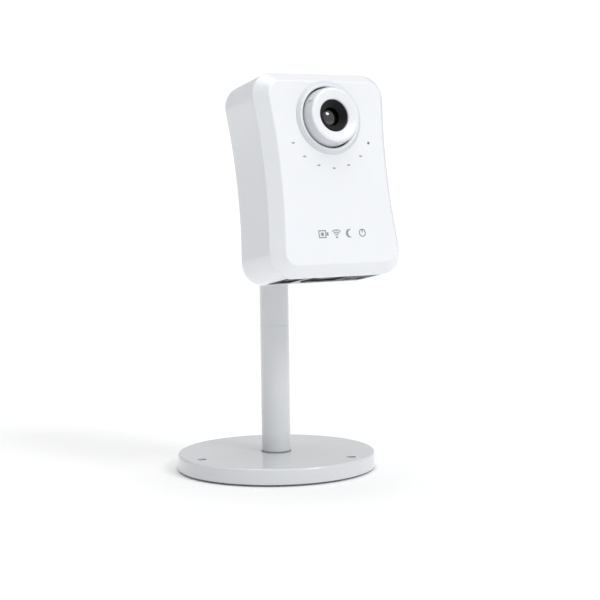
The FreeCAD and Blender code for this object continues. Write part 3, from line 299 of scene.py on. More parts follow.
CARRIED_FINISHES: dict[str, Finish] = {
    "ballast_plate": GROUND_STEEL, "ballast_screws": PLATED_STEEL, "pole_joiner": GROUND_STEEL,
    "pole_foot_nut": GROUND_STEEL, "pole_washer": PLATED_STEEL, "pole_screw": PLATED_STEEL,
    "pole_top_plug": ANODISED, "swivel_screw": PLATED_STEEL, "brake_pad": NITRILE, "lens_mount": BLACK_PC,
    "lens_mount_screws": PLATED_STEEL, "image_sensor": CHIP_EPOXY, "ir_filter": FILTER_GLASS,
    "main_board": LAMINATE, "board_screws": PLATED_STEEL, "processor": CHIP_EPOXY, "heat_sink": ANODISED,
    "memory_chips": CHIP_EPOXY, "radio_module": ANODISED, "antenna": LAMINATE,
    "pulse_transformer": CHIP_EPOXY, "capacitors": ANODISED, "jack_contacts": GOLD_PLATE,
    "power_pin": GOLD_PLATE, "reset_switch": CHIP_EPOXY, "status_lamps": LABEL_FILM,
    "microphone_boot": NITRILE, "microphone": ANODISED, "rear_lens": COATED_GLASS,
}


# ---------------------------------------------------------------- frames and shapes

@dataclass(frozen=True)
class Seat:
    """Where a sub-assembly sits: the CAD body that it moves with and its frame in the row, in metres."""

    body: str
    matrix: Matrix


def joint_axis(name: str) -> tuple[Vector, Vector]:
    """Read a joint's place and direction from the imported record.

    Args:
        name: The joint's name.

    Returns:
        A point on the axis, in metres, and the unit direction.
    """
    joints = frame["record"]["behaviour"]["joints"]
    joint = next(item for item in joints if item["name"] == name)
    return Vector(joint.get("pos_m", (0, 0, 0))), Vector(joint["axis"]).normalized()


def frame_matrix(origin: Vector, right: Vector, ahead: Vector) -> Matrix:
    """Build a frame in metres for shapes in millimetres.

    Args:
        origin: The frame's origin in the row.
        right: Its X axis.
        ahead: Its Z axis.

    Returns:
        The matrix from the sub-assembly's millimetres to the row's metres.
    """
    across = ahead.cross(right)
    turn = Matrix((right, across, ahead)).transposed().to_4x4()
    return Matrix.Translation(origin) @ turn @ Matrix.Scale(MM, 4)


RIGHT = Vector((1, 0, 0))
UPWARD = Vector((0, 0, 1))
MILLIMETRES = Matrix.Scale(MM, 4)
LYING = Matrix.Rotation(math.pi / 2, 4, "X")    # lays a drum from front to back
STAND = Seat("stand", MILLIMETRES)


def wall_profile(inner: float, outer: float, low: float, high: float) -> Profile:
    """Outline the wall of a plain tube."""
    return (inner, low), (outer, low), (outer, high), (inner, high)


class Shape:
    """A mesh in the making, in millimetres, in the frame of its sub-assembly."""

    def __init__(self) -> None:
        """Start with an empty mesh."""
        self.mesh = bmesh.new()

    def turned(self, profile: Profile, steps: int = 96) -> "Shape":
        """Spin a closed or axis-to-axis profile about Z.

        Args:
            profile: Points of (radius, height), in order.
            steps: Facets round the turn.

        Returns:
            This shape.
        """
        points = [self.mesh.verts.new((radius, 0, height)) for radius, height in profile]
        closed = min(radius for radius, _ in profile) > 0
        pairs = list(zip(points, points[1:])) + ([(points[-1], points[0])] if closed else [])
        edges = [self.mesh.edges.new(pair) for pair in pairs]
        bmesh.ops.spin(self.mesh, geom=points + edges, cent=(0, 0, 0), axis=(0, 0, 1), angle=2 * math.pi,
                       steps=steps, use_merge=True)
        return self.closed_up()

    def closed_up(self) -> "Shape":
        """Merge doubles and turn every face outwards."""
        bmesh.ops.remove_doubles(self.mesh, verts=self.mesh.verts, dist=NEAR / 100)
        bmesh.ops.recalc_face_normals(self.mesh, faces=self.mesh.faces)
        return self

    def softened(self, width: float, segments: int = 3, sharper_than: float = 32.0,
                 where: EdgeTest = lambda edge: True) -> "Shape":
        """Round the sharp edges.

        Args:
            width: How far the rounding reaches from the edge.
            segments: Facets across the rounding.
            sharper_than: Least angle in degrees between faces.
            where: A test that an edge must pass as well.

        Returns:
            This shape.
        """
        limit = math.radians(sharper_than)
        edges = [edge for edge in self.mesh.edges
                 if edge.is_manifold and edge.calc_face_angle(0) > limit and where(edge)]
        bmesh.ops.bevel(self.mesh, geom=edges, offset=width, offset_type="OFFSET", segments=segments,
                        profile=0.5, affect="EDGES", material=-1, clamp_overlap=True)
        return self

    def moved(self, matrix: Matrix) -> "Shape":
        """Transform the whole shape."""
        bmesh.ops.transform(self.mesh, matrix=matrix, verts=self.mesh.verts)
        return self

    def with_drum(self, radius: float, length: float, matrix: Matrix, steps: int = 32) -> "Shape":
        """Add a closed drum.

        Args:
            radius: Its radius.
            length: Its length along its own Z, centred.
            matrix: Where its centre goes.
            steps: Facets round it.

        Returns:
            This shape.
        """
        bmesh.ops.create_cone(self.mesh, cap_ends=True, segments=steps, radius1=radius, radius2=radius,
                              depth=length, matrix=matrix)
        return self

    def with_block(self, size: Sequence[float], centre: Sequence[float]) -> "Shape":
        """Add a closed block.

        Args:
            size: Its three sizes.
            centre: Its centre.

        Returns:
            This shape.
        """
        stretch = Matrix.Diagonal((*size, 1))
        bmesh.ops.create_cube(self.mesh, size=1.0, matrix=Matrix.Translation(centre) @ stretch)
        return self

    def to_object(self, name: str, matrix: Matrix) -> bpy.types.Object:
        """Put the mesh into the scene with its place in its points.

        Args:
            name: The object's name.
            matrix: The sub-assembly's frame.

        Returns:
            The new object, at the origin.
        """
        data = bpy.data.meshes.new(name)
        self.mesh.transform(matrix)
        self.mesh.to_mesh(data)
        self.mesh.free()
        made = bpy.data.objects.new(name, data)
        bpy.context.scene.collection.objects.link(made)
        return made


def carve(target: bpy.types.Object, cutter: bpy.types.Object) -> None:
    """Take one closed mesh out of another and keep the result as plain mesh.

    Args:
        target: The object that is cut.
        cutter: The object that cuts, which is deleted. Its solids may cross each other.
    """
    modifier = target.modifiers.new("carve", "BOOLEAN")
    modifier.object = cutter
    modifier.operation = "DIFFERENCE"
    modifier.solver = "EXACT"
    modifier.use_self = True
    settle(target)
    bpy.data.objects.remove(cutter, do_unlink=True)


def settle(target: bpy.types.Object) -> None:
    """Apply an object's modifiers to its mesh.

    Args:
        target: The object, which keeps no modifier.
    """
    graph = bpy.context.evaluated_depsgraph_get()
    data = bpy.data.meshes.new_from_object(target.evaluated_get(graph))
    target.modifiers.clear()
    target.data = data


def show(piece: bpy.types.Object, seat: Seat, finish: Finish, stands_for: Sequence[str] = (),
         crease: float = 28.0) -> None:
    """Dress a finished piece, attach it to its body and hide the CAD nodes that it replaces.

    Args:
        piece: The piece's object.
        seat: The sub-assembly that it belongs to.
        finish: Its material.
        stands_for: CAD nodes that it replaces.
        crease: Angle in degrees above which an edge stays sharp.
    """
    piece.data.materials.clear()
    piece.data.materials.append(finish.material())
    piece.data.shade_smooth()
    piece.data.set_sharp_from_angle(angle=math.radians(crease))
    level = piece.modifiers.new("flat_faces_stay_flat", "WEIGHTED_NORMAL")
    level.keep_sharp = True
    level.weight = 80
    settle(piece)
    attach(piece, seat.body)
    if stands_for:
        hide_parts(*stands_for)
    LOG.info("%s: %d faces on %s", piece.name, len(piece.data.polygons), seat.body)


def softened_node(node: str, seat: Seat, finish: Finish, width: float, flat_within: float = 1.0,
                  rounded_above: float = 38.0) -> None:
    """Show a CAD node's own shape with rounded edges in its place.

    Args:
        node: The CAD node.
        seat: The sub-assembly that it belongs to.
        finish: Its material.
        width: The reach of the rounding.
        flat_within: Angle in degrees within which its loose triangles join into one face.
        rounded_above: Least angle in degrees at which an edge is rounded.
    """
    source = frame["nodes"][node]
    shape = Shape()
    shape.mesh.from_mesh(source.data)
    shape.mesh.transform(source.matrix_world)
    bmesh.ops.remove_doubles(shape.mesh, verts=shape.mesh.verts, dist=MM * MM)
    bmesh.ops.dissolve_limit(shape.mesh, angle_limit=math.radians(flat_within), verts=shape.mesh.verts,
                             edges=shape.mesh.edges)
    made = shape.to_object(node + "_shown", Matrix.Identity(4))
    rounding = made.modifiers.new("rounding", "BEVEL")
    rounding.width = width * MM
    rounding.segments = 3
    rounding.limit_method = "ANGLE"
    rounding.angle_limit = math.radians(rounded_above)
    rounding.use_clamp_overlap = True
    settle(made)
    show(made, seat, finish, (node,))


def merge_into(shape: Shape, other: Shape) -> None:
    """Move another shape's mesh into a shape.

    Args:
        shape: The shape that takes it.
        other: The shape that is used up.
    """
    scratch = bpy.data.meshes.new("merge_scratch")
    other.mesh.to_mesh(scratch)
    other.mesh.free()
    shape.mesh.from_mesh(scratch)
    bpy.data.meshes.remove(scratch)


@dataclass(frozen=True)
class PanScrew:
    """A pan-head screw with a driver's cross, standing on its seat with Z towards its head."""

    head: float
    height: float
    shank: float
    length: float
    cross: float
    tip: float = 0.6
    rounding: float = 0.12

    def solid(self) -> Shape:
        """Turn one screw, without its cross.

        Returns:
            The screw, with its seat at the origin.
        """
        screw = Shape().turned([
            (0, self.height), (self.head * 0.6, self.height), (self.head, self.height * 0.45), (self.head, 0),
            (self.shank, 0), (self.shank, -self.length + self.tip), (self.shank * 0.5, -self.length),
            (0, -self.length)], 32)
        return screw.softened(self.rounding, 2)

    def show_set(self, name: str, seat: Seat, node: str, places: Sequence[Matrix]) -> None:
        """Show such screws as one piece.

        Args:
            name: The piece's name.
            seat: The sub-assembly that they belong to.
            node: The CAD node that they replace.
            places: Each screw's seat.
        """
        screws, bars = Shape(), Shape()
        bar = Matrix.Diagonal((self.cross, self.cross * 0.24, self.cross * 0.7, 1))
        for place in places:
            merge_into(screws, self.solid().moved(place))
            top = place @ Matrix.Translation((0, 0, self.height))
            for turn in (0, math.pi / 2):
                bmesh.ops.create_cube(bars.mesh, size=1.0, matrix=top @ Matrix.Rotation(turn, 4, "Z") @ bar)
        piece = screws.to_object(name, seat.matrix)
        carve(piece, bars.to_object(name + "_bars", seat.matrix))
        show(piece, seat, PLATED_STEEL, (node,))


# ---------------------------------------------------------------- base and pole

@dataclass
class Base:
    """Weighted disc on its silicone foot, with three plain fixing holes."""

    radius: float = 48.0
    foot: float = 1.0
    top: float = 8.4
    wall: float = 2.4
    bore: float = 2.45
    rim_rounding: float = 1.2
    foot_rounding: float = 0.25
    pad_rounding: float = 0.2
    holes: int = 3
    hole_circle: float = 41.0
    hole_radius: float = 2.3
    seat: Seat = STAND

    def build(self) -> None:
        """Make the disc's cover with its rounded rim and its holes, and the foot under it."""
        inner = self.radius - self.wall
        under = self.top - self.wall
        shape = Shape().turned([
            (self.bore, under), (inner, under), (inner, self.foot), (self.radius, self.foot),
            (self.radius, self.top), (self.bore, self.top)], steps=192)
        shape.softened(self.rim_rounding, 6, where=self.rim_at(self.top))
        shape.softened(self.foot_rounding, 2, where=self.rim_at(self.foot))
        cover = shape.to_object("base_disc", self.seat.matrix)
        carve(cover, self.hole_drums().to_object("base_hole_drums", self.seat.matrix))
        show(cover, self.seat, GREY_ABS, ("base_cover",), crease=40)
        softened_node("foot_pad", self.seat, GREY_SILICONE, self.pad_rounding)

    def rim_at(self, height: float) -> EdgeTest:
        """Give the test for the outer rim's edges at a height."""
        return lambda edge: all(abs(vert.co.z - height) < NEAR and vert.co.xy.length > self.radius - NEAR
                                for vert in edge.verts)

    def hole_drums(self) -> Shape:
        """Make the drums that cut the fixing holes.

        Returns:
            The drums, evenly spaced from the left.
        """
        drums = Shape()
        for index in range(self.holes):
            angle = math.radians(180 + 360 / self.holes * index)
            centre = Vector((self.hole_circle * math.cos(angle), self.hole_circle * math.sin(angle), 0))
            drums.with_drum(self.hole_radius, 20, Matrix.Translation(centre), 48)
        return drums


@dataclass
class Pole:
    """Two enamelled tubes with a fine seam between them, on a thin gasket."""

    radius: float = 7.0
    bore: float = 5.4
    foot: float = 8.9
    seam: float = 70.0
    top: float = 102.2
    seam_rounding: float = 0.12
    gasket_radius: float = 7.25
    gasket_rounding: float = 0.15
    seat: Seat = STAND

    def build(self) -> None:
        """Make the lower and upper tubes, and the gasket between pole and disc."""
        for name, low, high in (("pole_lower", self.foot, self.seam), ("pole_upper", self.seam, self.top)):
            tube = Shape().turned(wall_profile(self.bore, self.radius, low, high))
            tube.softened(self.seam_rounding)
            show(tube.to_object(name + "_tube", self.seat.matrix), self.seat, POLE_ENAMEL, (name,))
        gasket = Shape().turned(wall_profile(Base.bore, self.gasket_radius, Base.top, self.foot))
        gasket.softened(self.gasket_rounding, 2)
        show(gasket.to_object("pole_foot_gasket", self.seat.matrix), self.seat, GREY_SILICONE,
             ("pole_gasket",))


@dataclass
class PanHead:
    """Socket that turns on the pole, its cap and screws, and the clamp behind it."""

    screw: PanScrew = PanScrew(head=1.7, height=1.2, shank=1.0, length=8.5, cross=1.6)
    screw_reach: float = 9.1
    screw_back: float = 2.5
    cap_top: float = 129.0
    socket: Seat = Seat("socket", MILLIMETRES)
    clamp: Seat = Seat("clamp", MILLIMETRES)

    def build(self) -> None:
        """Make the socket, its cap with two screws, and the clamp's knob and screw."""
        for node, seat, finish, rounding in (
                ("ball_socket", self.socket, GREY_ABS, 0.35), ("socket_cap", self.socket, GREY_ABS, 0.35),
                ("clamp_knob", self.clamp, GREY_ABS, 0.4), ("clamp_screw", self.clamp, PLATED_STEEL, 0.3)):
            softened_node(node, seat, finish, rounding)
        self.screw.show_set("cap_screw_pair", self.socket, "cap_screws", [
            Matrix.Translation((side * self.screw_reach, self.screw_back, self.cap_top)) for side in (-1, 1)])


@dataclass
class BallJoint:
    """Steel ball with its stud, and the knurled wheel that locks the head."""

    seat: Seat
    lock: Seat
    ball_radius: float = 7.0
    stud_radius: float = 3.1
    stud_foot: float = 2.0
    stud_end: float = 29.9
    thread_start: float = 16.2
    thread_turns: int = 10
    thread_pitch: float = 1.27
    thread_depth: float = 0.45
    wheel_rounding: float = 0.25

    def build(self) -> None:
        """Make the ball, the stud and the wheel."""
        ball = Shape()
        bmesh.ops.create_uvsphere(ball.mesh, u_segments=64, v_segments=32, radius=self.ball_radius)
        piece = ball.to_object("ball_ground", self.seat.matrix)
        bore = Shape().with_drum(self.stud_radius, 10, Matrix.Translation((0, 0, self.ball_radius)), 48)
        carve(piece, bore.to_object("ball_bore", self.seat.matrix))
        show(piece, self.seat, GROUND_STEEL, ("ball",))
        stud = Shape().turned(self.thread_profile())
        show(stud.to_object("ball_stud_threaded", self.seat.matrix), self.seat, PLATED_STEEL, ("ball_stud",))
        softened_node("lock_wheel", self.lock, GREY_ABS, self.wheel_rounding)

    def thread_profile(self) -> Profile:
        """Outline the stud: plain at the neck and ridged along its thread.

        Returns:
            The outline from the middle of its foot to the middle of its end.
        """
        radius, pitch = self.stud_radius, self.thread_pitch
        points = [(0.0, self.stud_foot), (radius, self.stud_foot), (radius, self.thread_start - 0.2)]
        for index in range(self.thread_turns):
            low = self.thread_start + index * pitch
            points += [(radius - self.thread_depth, low + pitch * 0.25), (radius, low + pitch * 0.7)]
        return points + [(radius - 0.6, self.stud_end), (0.0, self.stud_end)]


# ---------------------------------------------------------------- head shell

def at_depth(y: float, within: float = NEAR) -> EdgeTest:
    """Give the test for edges that lie at one place along the head's depth."""
    return lambda edge: all(abs(vert.co.y - y) < within for vert in edge.verts)


@dataclass
class HeadShell:
    """Upright two-part shell with a waist: bevelled front cover and round-backed rear cover."""

    seat: Seat
    width: float = 69.4
    height: float = 93.0
    depth: float = 35.8
    corner: float = 10.75
    waist: float = 2.0
    wall: float = 2.4
    cover_depth: float = 6.4
    bevel_inset: float = 4.9
    bevel_depth: float = 6.1
    face_rounding: float = 0.5
    seam_rounding: float = 0.3
    back_rounding: float = 5.0
    lens_rise: float = 24.9
    lens_hole: float = 16.3
    arc_radius: float = 23.17
    arc_step: float = 20.0
    sound_hole: float = 0.7
    window: tuple[float, float] = (0.85, 0.42)
    pipe_radius: float = 0.7
    vents: int = 5
    vent_pitch: float = 4.0
    stud_drop: float = 12.0
    stud_hole: float = 5.55
    sink_radius: float = 2.6
    screw: PanScrew = PanScrew(head=2.3, height=1.8, shank=1.15, length=20, cross=2.4)
    screw_depth: float = 5.9
    screw_points: tuple[tuple[float, float], ...] = ((-25.4, 36), (-25.4, -22), (25.4, 36), (25.4, -22))
    mark_left: float = -9.5
    mark_pitch: float = 6.9
    mark_height: float = -28.0
    ink: float = 0.06
    # Thickness of the black plates that paint shade in the port openings.
    plate: float = 0.68

    def outline(self, shape: Shape, y: float) -> bmesh.types.BMFace:
        """Draw the head's outline as one face.

        Four corner arcs are joined by level lines above and below and by long arcs at the sides.

        Args:
            shape: The shape that takes it.
            y: The face's place along the head's depth.

        Returns:
            The face, looking to the front.
        """
        across = self.width / 2 - self.corner
        up = self.height / 2 - self.corner
        apart = (up ** 2 + self.waist ** 2) / (2 * self.waist)
        lean = math.asin(up / apart)
        far = across + apart - self.waist
        long_radius = apart - self.corner
        quarter = math.pi / 2
        side_steps, corner_steps = 40, 16
        arcs = [
            (Vector((far, 0)), long_radius, math.pi + lean, -2 * lean, side_steps),
            (Vector((across, up)), self.corner, -lean, quarter + lean, corner_steps),
            (Vector((-across, up)), self.corner, quarter, quarter + lean, corner_steps),
            (Vector((-far, 0)), long_radius, lean, -2 * lean, side_steps),
            (Vector((-across, -up)), self.corner, math.pi - lean, quarter + lean, corner_steps),
            (Vector((across, -up)), self.corner, -quarter, quarter + lean, corner_steps),
        ]
        ring: list[bmesh.types.BMVert] = []
        for centre, radius, begin, sweep, steps in arcs:
            start = Vector((centre.x + radius * math.cos(begin), y, centre.y + radius * math.sin(begin)))
            known = set(shape.mesh.verts)
            first = shape.mesh.verts.new(start)
            bmesh.ops.spin(shape.mesh, geom=[first], cent=(centre.x, y, centre.y), axis=(0, -1, 0),
                           angle=sweep, steps=steps)
            ring += [vert for vert in shape.mesh.verts if vert not in known]
        shape.mesh.faces.new(ring)
        bmesh.ops.remove_doubles(shape.mesh, verts=shape.mesh.verts, dist=NEAR / 10)
        face = next(iter(shape.mesh.faces))
        face.normal_update()
        if face.normal.y > 0:
            face.normal_flip()
        return face

    def slab(self, y: float, towards: float, rim_inset: float = 0.0, rim_depth: float = 0.0) -> Shape:
        """Make a solid slab of the outline, with its far edge drawn in as a bevel if asked.

        Args:
            y: Where the outline lies.
            towards: How far to the rear it reaches, negative for the front.
            rim_inset: How far the bevel draws the far face in.
            rim_depth: How deep the bevel is.

        Returns:
            The slab.
        """
        shape = Shape()
        face = self.outline(shape, y)
        straight = towards - math.copysign(rim_depth, towards)
        moved = bmesh.ops.extrude_face_region(shape.mesh, geom=[face], use_keep_orig=True)["geom"]
        far = next(item for item in moved if isinstance(item, bmesh.types.BMFace))
        bmesh.ops.translate(shape.mesh, verts=far.verts, vec=(0, straight, 0))
        bmesh.ops.recalc_face_normals(shape.mesh, faces=shape.mesh.faces)
        if rim_inset:
            bmesh.ops.inset_region(shape.mesh, faces=[far], thickness=rim_inset, depth=rim_depth,
                                   use_even_offset=True, use_boundary=True)
        return shape

    def arc_place(self, step: int) -> tuple[float, float]:
        """Give a place on the arc under the lens, counted in steps to the right."""
        angle = math.radians(step * self.arc_step)
        return self.arc_radius * math.sin(angle), self.lens_rise - self.arc_radius * math.cos(angle)

    def build(self) -> None:
        """Make both covers and what is set into them."""
        self.front_cover()
        self.rear_cover()
        self.light_windows()
        self.printed_mark()
        self.rear_fittings()

    def front_cover(self) -> None:
        """Make the front cover: bevelled edge softened both sides, lens hole and sound hole."""
        front = -self.depth / 2
        parting = front + self.cover_depth
        shape = self.slab(parting, -self.cover_depth, self.bevel_inset, self.bevel_depth)
        shape.softened(self.face_rounding, 4, 20, where=at_depth(front))
        shape.softened(self.seam_rounding, 3, 20, where=at_depth(front + self.bevel_depth, 0.05))
        shape.softened(self.seam_rounding, 3, 60, where=at_depth(parting))
        cover = shape.to_object("front_shell", self.seat.matrix)
        cutters = Shape().with_block((54, 6, 70), (0, parting + 1.2, 0))
        cutters.with_drum(self.lens_hole, 30, Matrix.Translation((0, front, self.lens_rise)) @ LYING, 96)
        carve(cover, cutters.to_object("front_cutters", self.seat.matrix))
        x, z = self.arc_place(3)
        hole = Shape().with_drum(self.sound_hole, 12, Matrix.Translation((x, front, z)) @ LYING, 24)
        carve(cover, hole.to_object("sound_hole_drum", self.seat.matrix))
        show(cover, self.seat, WHITE_ABS, ("front_cover",), crease=24)

    def rear_cover(self) -> None:
        """Make the rear cover: rounded back, vents, screw sinks, stud seat, label seat and port holes."""
        back = self.depth / 2
        parting = self.cover_depth - back
        shape = self.slab(parting, self.depth - self.cover_depth)
        shape.softened(self.back_rounding, 10, where=at_depth(back))
        shape.softened(self.seam_rounding, 3, 60, where=at_depth(parting))
        cover = shape.to_object("rear_shell", self.seat.matrix)
        room = self.slab(parting - 1, self.depth - self.cover_depth - self.wall + 1)
        self.shrink(room)
        for name, cutter in (("rear_room", room), ("rear_cutters", self.rear_cutters()),
                             ("port_cutters", self.port_cutters())):
            carve(cover, cutter.to_object(name, self.seat.matrix))
        show(cover, self.seat, WHITE_ABS, ("rear_cover",), crease=24)

    def shrink(self, shape: Shape) -> None:
        """Draw a slab of the outline in by the wall's thickness.

        Args:
            shape: The slab.
        """
        across = 1 - 2 * self.wall / self.width
        up = 1 - 2 * self.wall / self.height
        shape.moved(Matrix.Diagonal((across, 1, up, 1)))

    def rear_cutters(self) -> Shape:
        """Make what cuts the back.

        Returns:
            The vents, the label's seat, the stud's seat and the screws' sinks.
        """
        back = self.depth / 2
        cutters = Shape()
        for row in range(self.vents):
            cutters.with_block((24, 8, 1.6), (0, back, 14.8 + self.vent_pitch * row))
        cutters.with_block((30.2, 0.5, 14.2), (0, back, -33))
        cutters.with_drum(self.stud_hole, 12, Matrix.Translation((0, back, -self.stud_drop)) @ LYING, 64)
        for x, z in self.screw_points:
            cutters.with_drum(self.sink_radius, 9, Matrix.Translation((x, back, z)) @ LYING)
        return cutters

    def port_cutters(self) -> Shape:
        """Make what cuts the underside.

        Returns:
            The sunk panel and the holes for jacks and button.
        """
        cutters = Shape().with_block((51, 19, 1.8), (-0.5, 0, -self.height / 2))
        return self.with_ports(cutters, 8, spare=1, button=1.6)

    def with_ports(self, cutters: Shape, depth: float, spare: float, button: float) -> Shape:
        """Add the holes for the three jacks and the button.

        Args:
            cutters: The shape that takes them.
            depth: Their length, half of it into the head.
            spare: How much wider than their ports the square holes are.
            button: The radius of the button's hole.

        Returns:
            The same shape.
        """
        low = -self.height / 2
        cutters.with_block((15 + spare, 12.5 + spare, depth), (0.5, -0.75, low))
        cutters.with_block((8 + spare, 10 + spare, depth), (-19, 0.5, low))
        cutters.with_drum(2.9, depth, Matrix.Translation((21, 3.25, low)), 48)
        return cutters.with_drum(button, depth, Matrix.Translation((14.2, 3.75, low)))

    def light_windows(self) -> None:
        """Make the six small pill-shaped windows flush with the face, on their pipes."""
        front = -self.depth / 2
        windows = Shape()
        for step in range(-3, 3):
            x, z = self.arc_place(step)
            stretch = Matrix.Diagonal((*self.window, 1, 1))
            windows.with_drum(1.0, 0.5, Matrix.Translation((x, front + 0.2, z)) @ LYING @ stretch, 24)
            windows.with_drum(self.pipe_radius, 22, Matrix.Translation((x, front + 11.5, z)) @ LYING, 16)
        show(windows.to_object("light_window_set", self.seat.matrix), self.seat, GREY_ACRYLIC,
             ("light_pipes",))

    def printed_mark(self) -> None:
        """Print a row of plain pictograms under the windows: a camera, waves, a moon and a switch."""
        front = -self.depth / 2
        mark = Shape()
        glyphs = (self.camera_glyph, self.wave_glyph, self.moon_glyph, self.switch_glyph)
        for index, glyph in enumerate(glyphs):
            flat = Shape()
            glyph(flat)
            across = self.mark_left + index * self.mark_pitch
            merge_into(mark, flat.moved(Matrix.Translation((across, front - 0.02, self.mark_height)) @ LYING))
        show(mark.to_object("printed_pictograms", self.seat.matrix), self.seat, GREY_INK)

    def camera_glyph(self, flat: Shape) -> None:
        """Draw a camera: a block with a disc for its lens and a wedge at its side.

        Args:
            flat: The shape that takes it.
        """
        for size, place in (((4.0, 0.5), (-0.6, 1.55)), ((4.0, 0.5), (-0.6, -1.55)), ((0.5, 2.6), (-2.35, 0)),
                            ((0.5, 2.6), (1.15, 0)), ((1.0, 1.5), (2.1, 0))):
            flat.with_block((*size, self.ink), (*place, 0))
        flat.with_drum(0.85, self.ink, Matrix.Translation((-0.6, 0, 0)), 24)

    def wave_glyph(self, flat: Shape) -> None:
        """Draw three spreading waves over a dot.

        Args:
            flat: The shape that takes it.
        """
        foot = Matrix.Translation((0, -1.6, 0))
        half_line, sweep = 0.24, math.radians(84)
        flat.with_drum(0.5, self.ink, foot, 20)
        for radius in (1.3, 2.3, 3.3):
            wave = Shape()
            outline = wall_profile(radius - half_line, radius + half_line, -self.ink / 2, self.ink / 2)
            face = wave.mesh.faces.new([wave.mesh.verts.new((r, 0, h)) for r, h in outline])
            bmesh.ops.spin(wave.mesh, geom=[face], cent=(0, 0, 0), axis=(0, 0, 1), angle=sweep, steps=12)
            bmesh.ops.recalc_face_normals(wave.mesh, faces=wave.mesh.faces)
            wave.moved(foot @ Matrix.Rotation((math.pi - sweep) / 2, 4, "Z"))
            merge_into(flat, wave)

    def moon_glyph(self, flat: Shape) -> None:
        """Draw a crescent as a stack of thin bars: a disc with a smaller disc bitten out of its right.

        Args:
            flat: The shape that takes it.
        """
        radius, bite, shift, step, rows = 1.95, 1.6, 0.85, 0.25, 15
        for row in range(rows):
            height = (row - (rows - 1) / 2) * step
            left = -math.sqrt(radius ** 2 - height ** 2)
            bitten = bite ** 2 - height ** 2
            right = shift - math.sqrt(bitten) if bitten > 0 else -left
            flat.with_block((right - left, step, self.ink), ((left + right) / 2, height, 0))

    def switch_glyph(self, flat: Shape) -> None:
        """Draw a ring with a stem, the usual sign of a switch.

        Args:
            flat: The shape that takes it.
        """
        ring = Shape().turned(wall_profile(1.35, 1.85, -self.ink / 2, self.ink / 2), 32)
        merge_into(flat, ring)
        flat.with_block((0.5, 1.5, self.ink), (0, 0.9, 0))

    def rear_fittings(self) -> None:
        """Make the case screws, the brass insert, the label and the jacks behind their holes."""
        sink = self.depth / 2 - self.screw_depth
        outward = Matrix.Rotation(-math.pi / 2, 4, "X")
        self.screw.show_set("case_screw_set", self.seat, "case_screws", [
            Matrix.Translation((x, sink, z)) @ outward for x, z in self.screw_points])
        for node, finish, rounding in (
                ("tripod_insert", TURNED_BRASS, 0.25), ("rating_label", LABEL_FILM, 0.08),
                ("ethernet_jack", BLACK_NYLON, 0.2), ("power_jack", BLACK_NYLON, 0.2),
                ("audio_jack", BLACK_NYLON, 0.2)):
            softened_node(node, self.seat, finish, rounding)
        self.port_shade_plates()

    def port_shade_plates(self) -> None:
        """Lay two thin black plates in the sunk panel around the ports, cut out for jacks and button: painted
        shade that darkens the port openings.
        """
        middle = -self.height / 2 + 0.2 + self.plate / 2
        plates = Shape()
        for width, across in ((10.6, -19.1), (31.6, 8.3)):
            plates.with_block((width, 18.6, self.plate), (across, 0, middle))
        piece = plates.to_object("port_shade_plate_pair", self.seat.matrix)
        wells = self.with_ports(Shape(), 4, spare=0, button=1.8)
        carve(piece, wells.to_object("port_wells", self.seat.matrix))
        # Black nylon here is painted shade inside the port openings; the jacks are real black nylon.
        show(piece, self.seat, BLACK_NYLON)


# ---------------------------------------------------------------- lens group

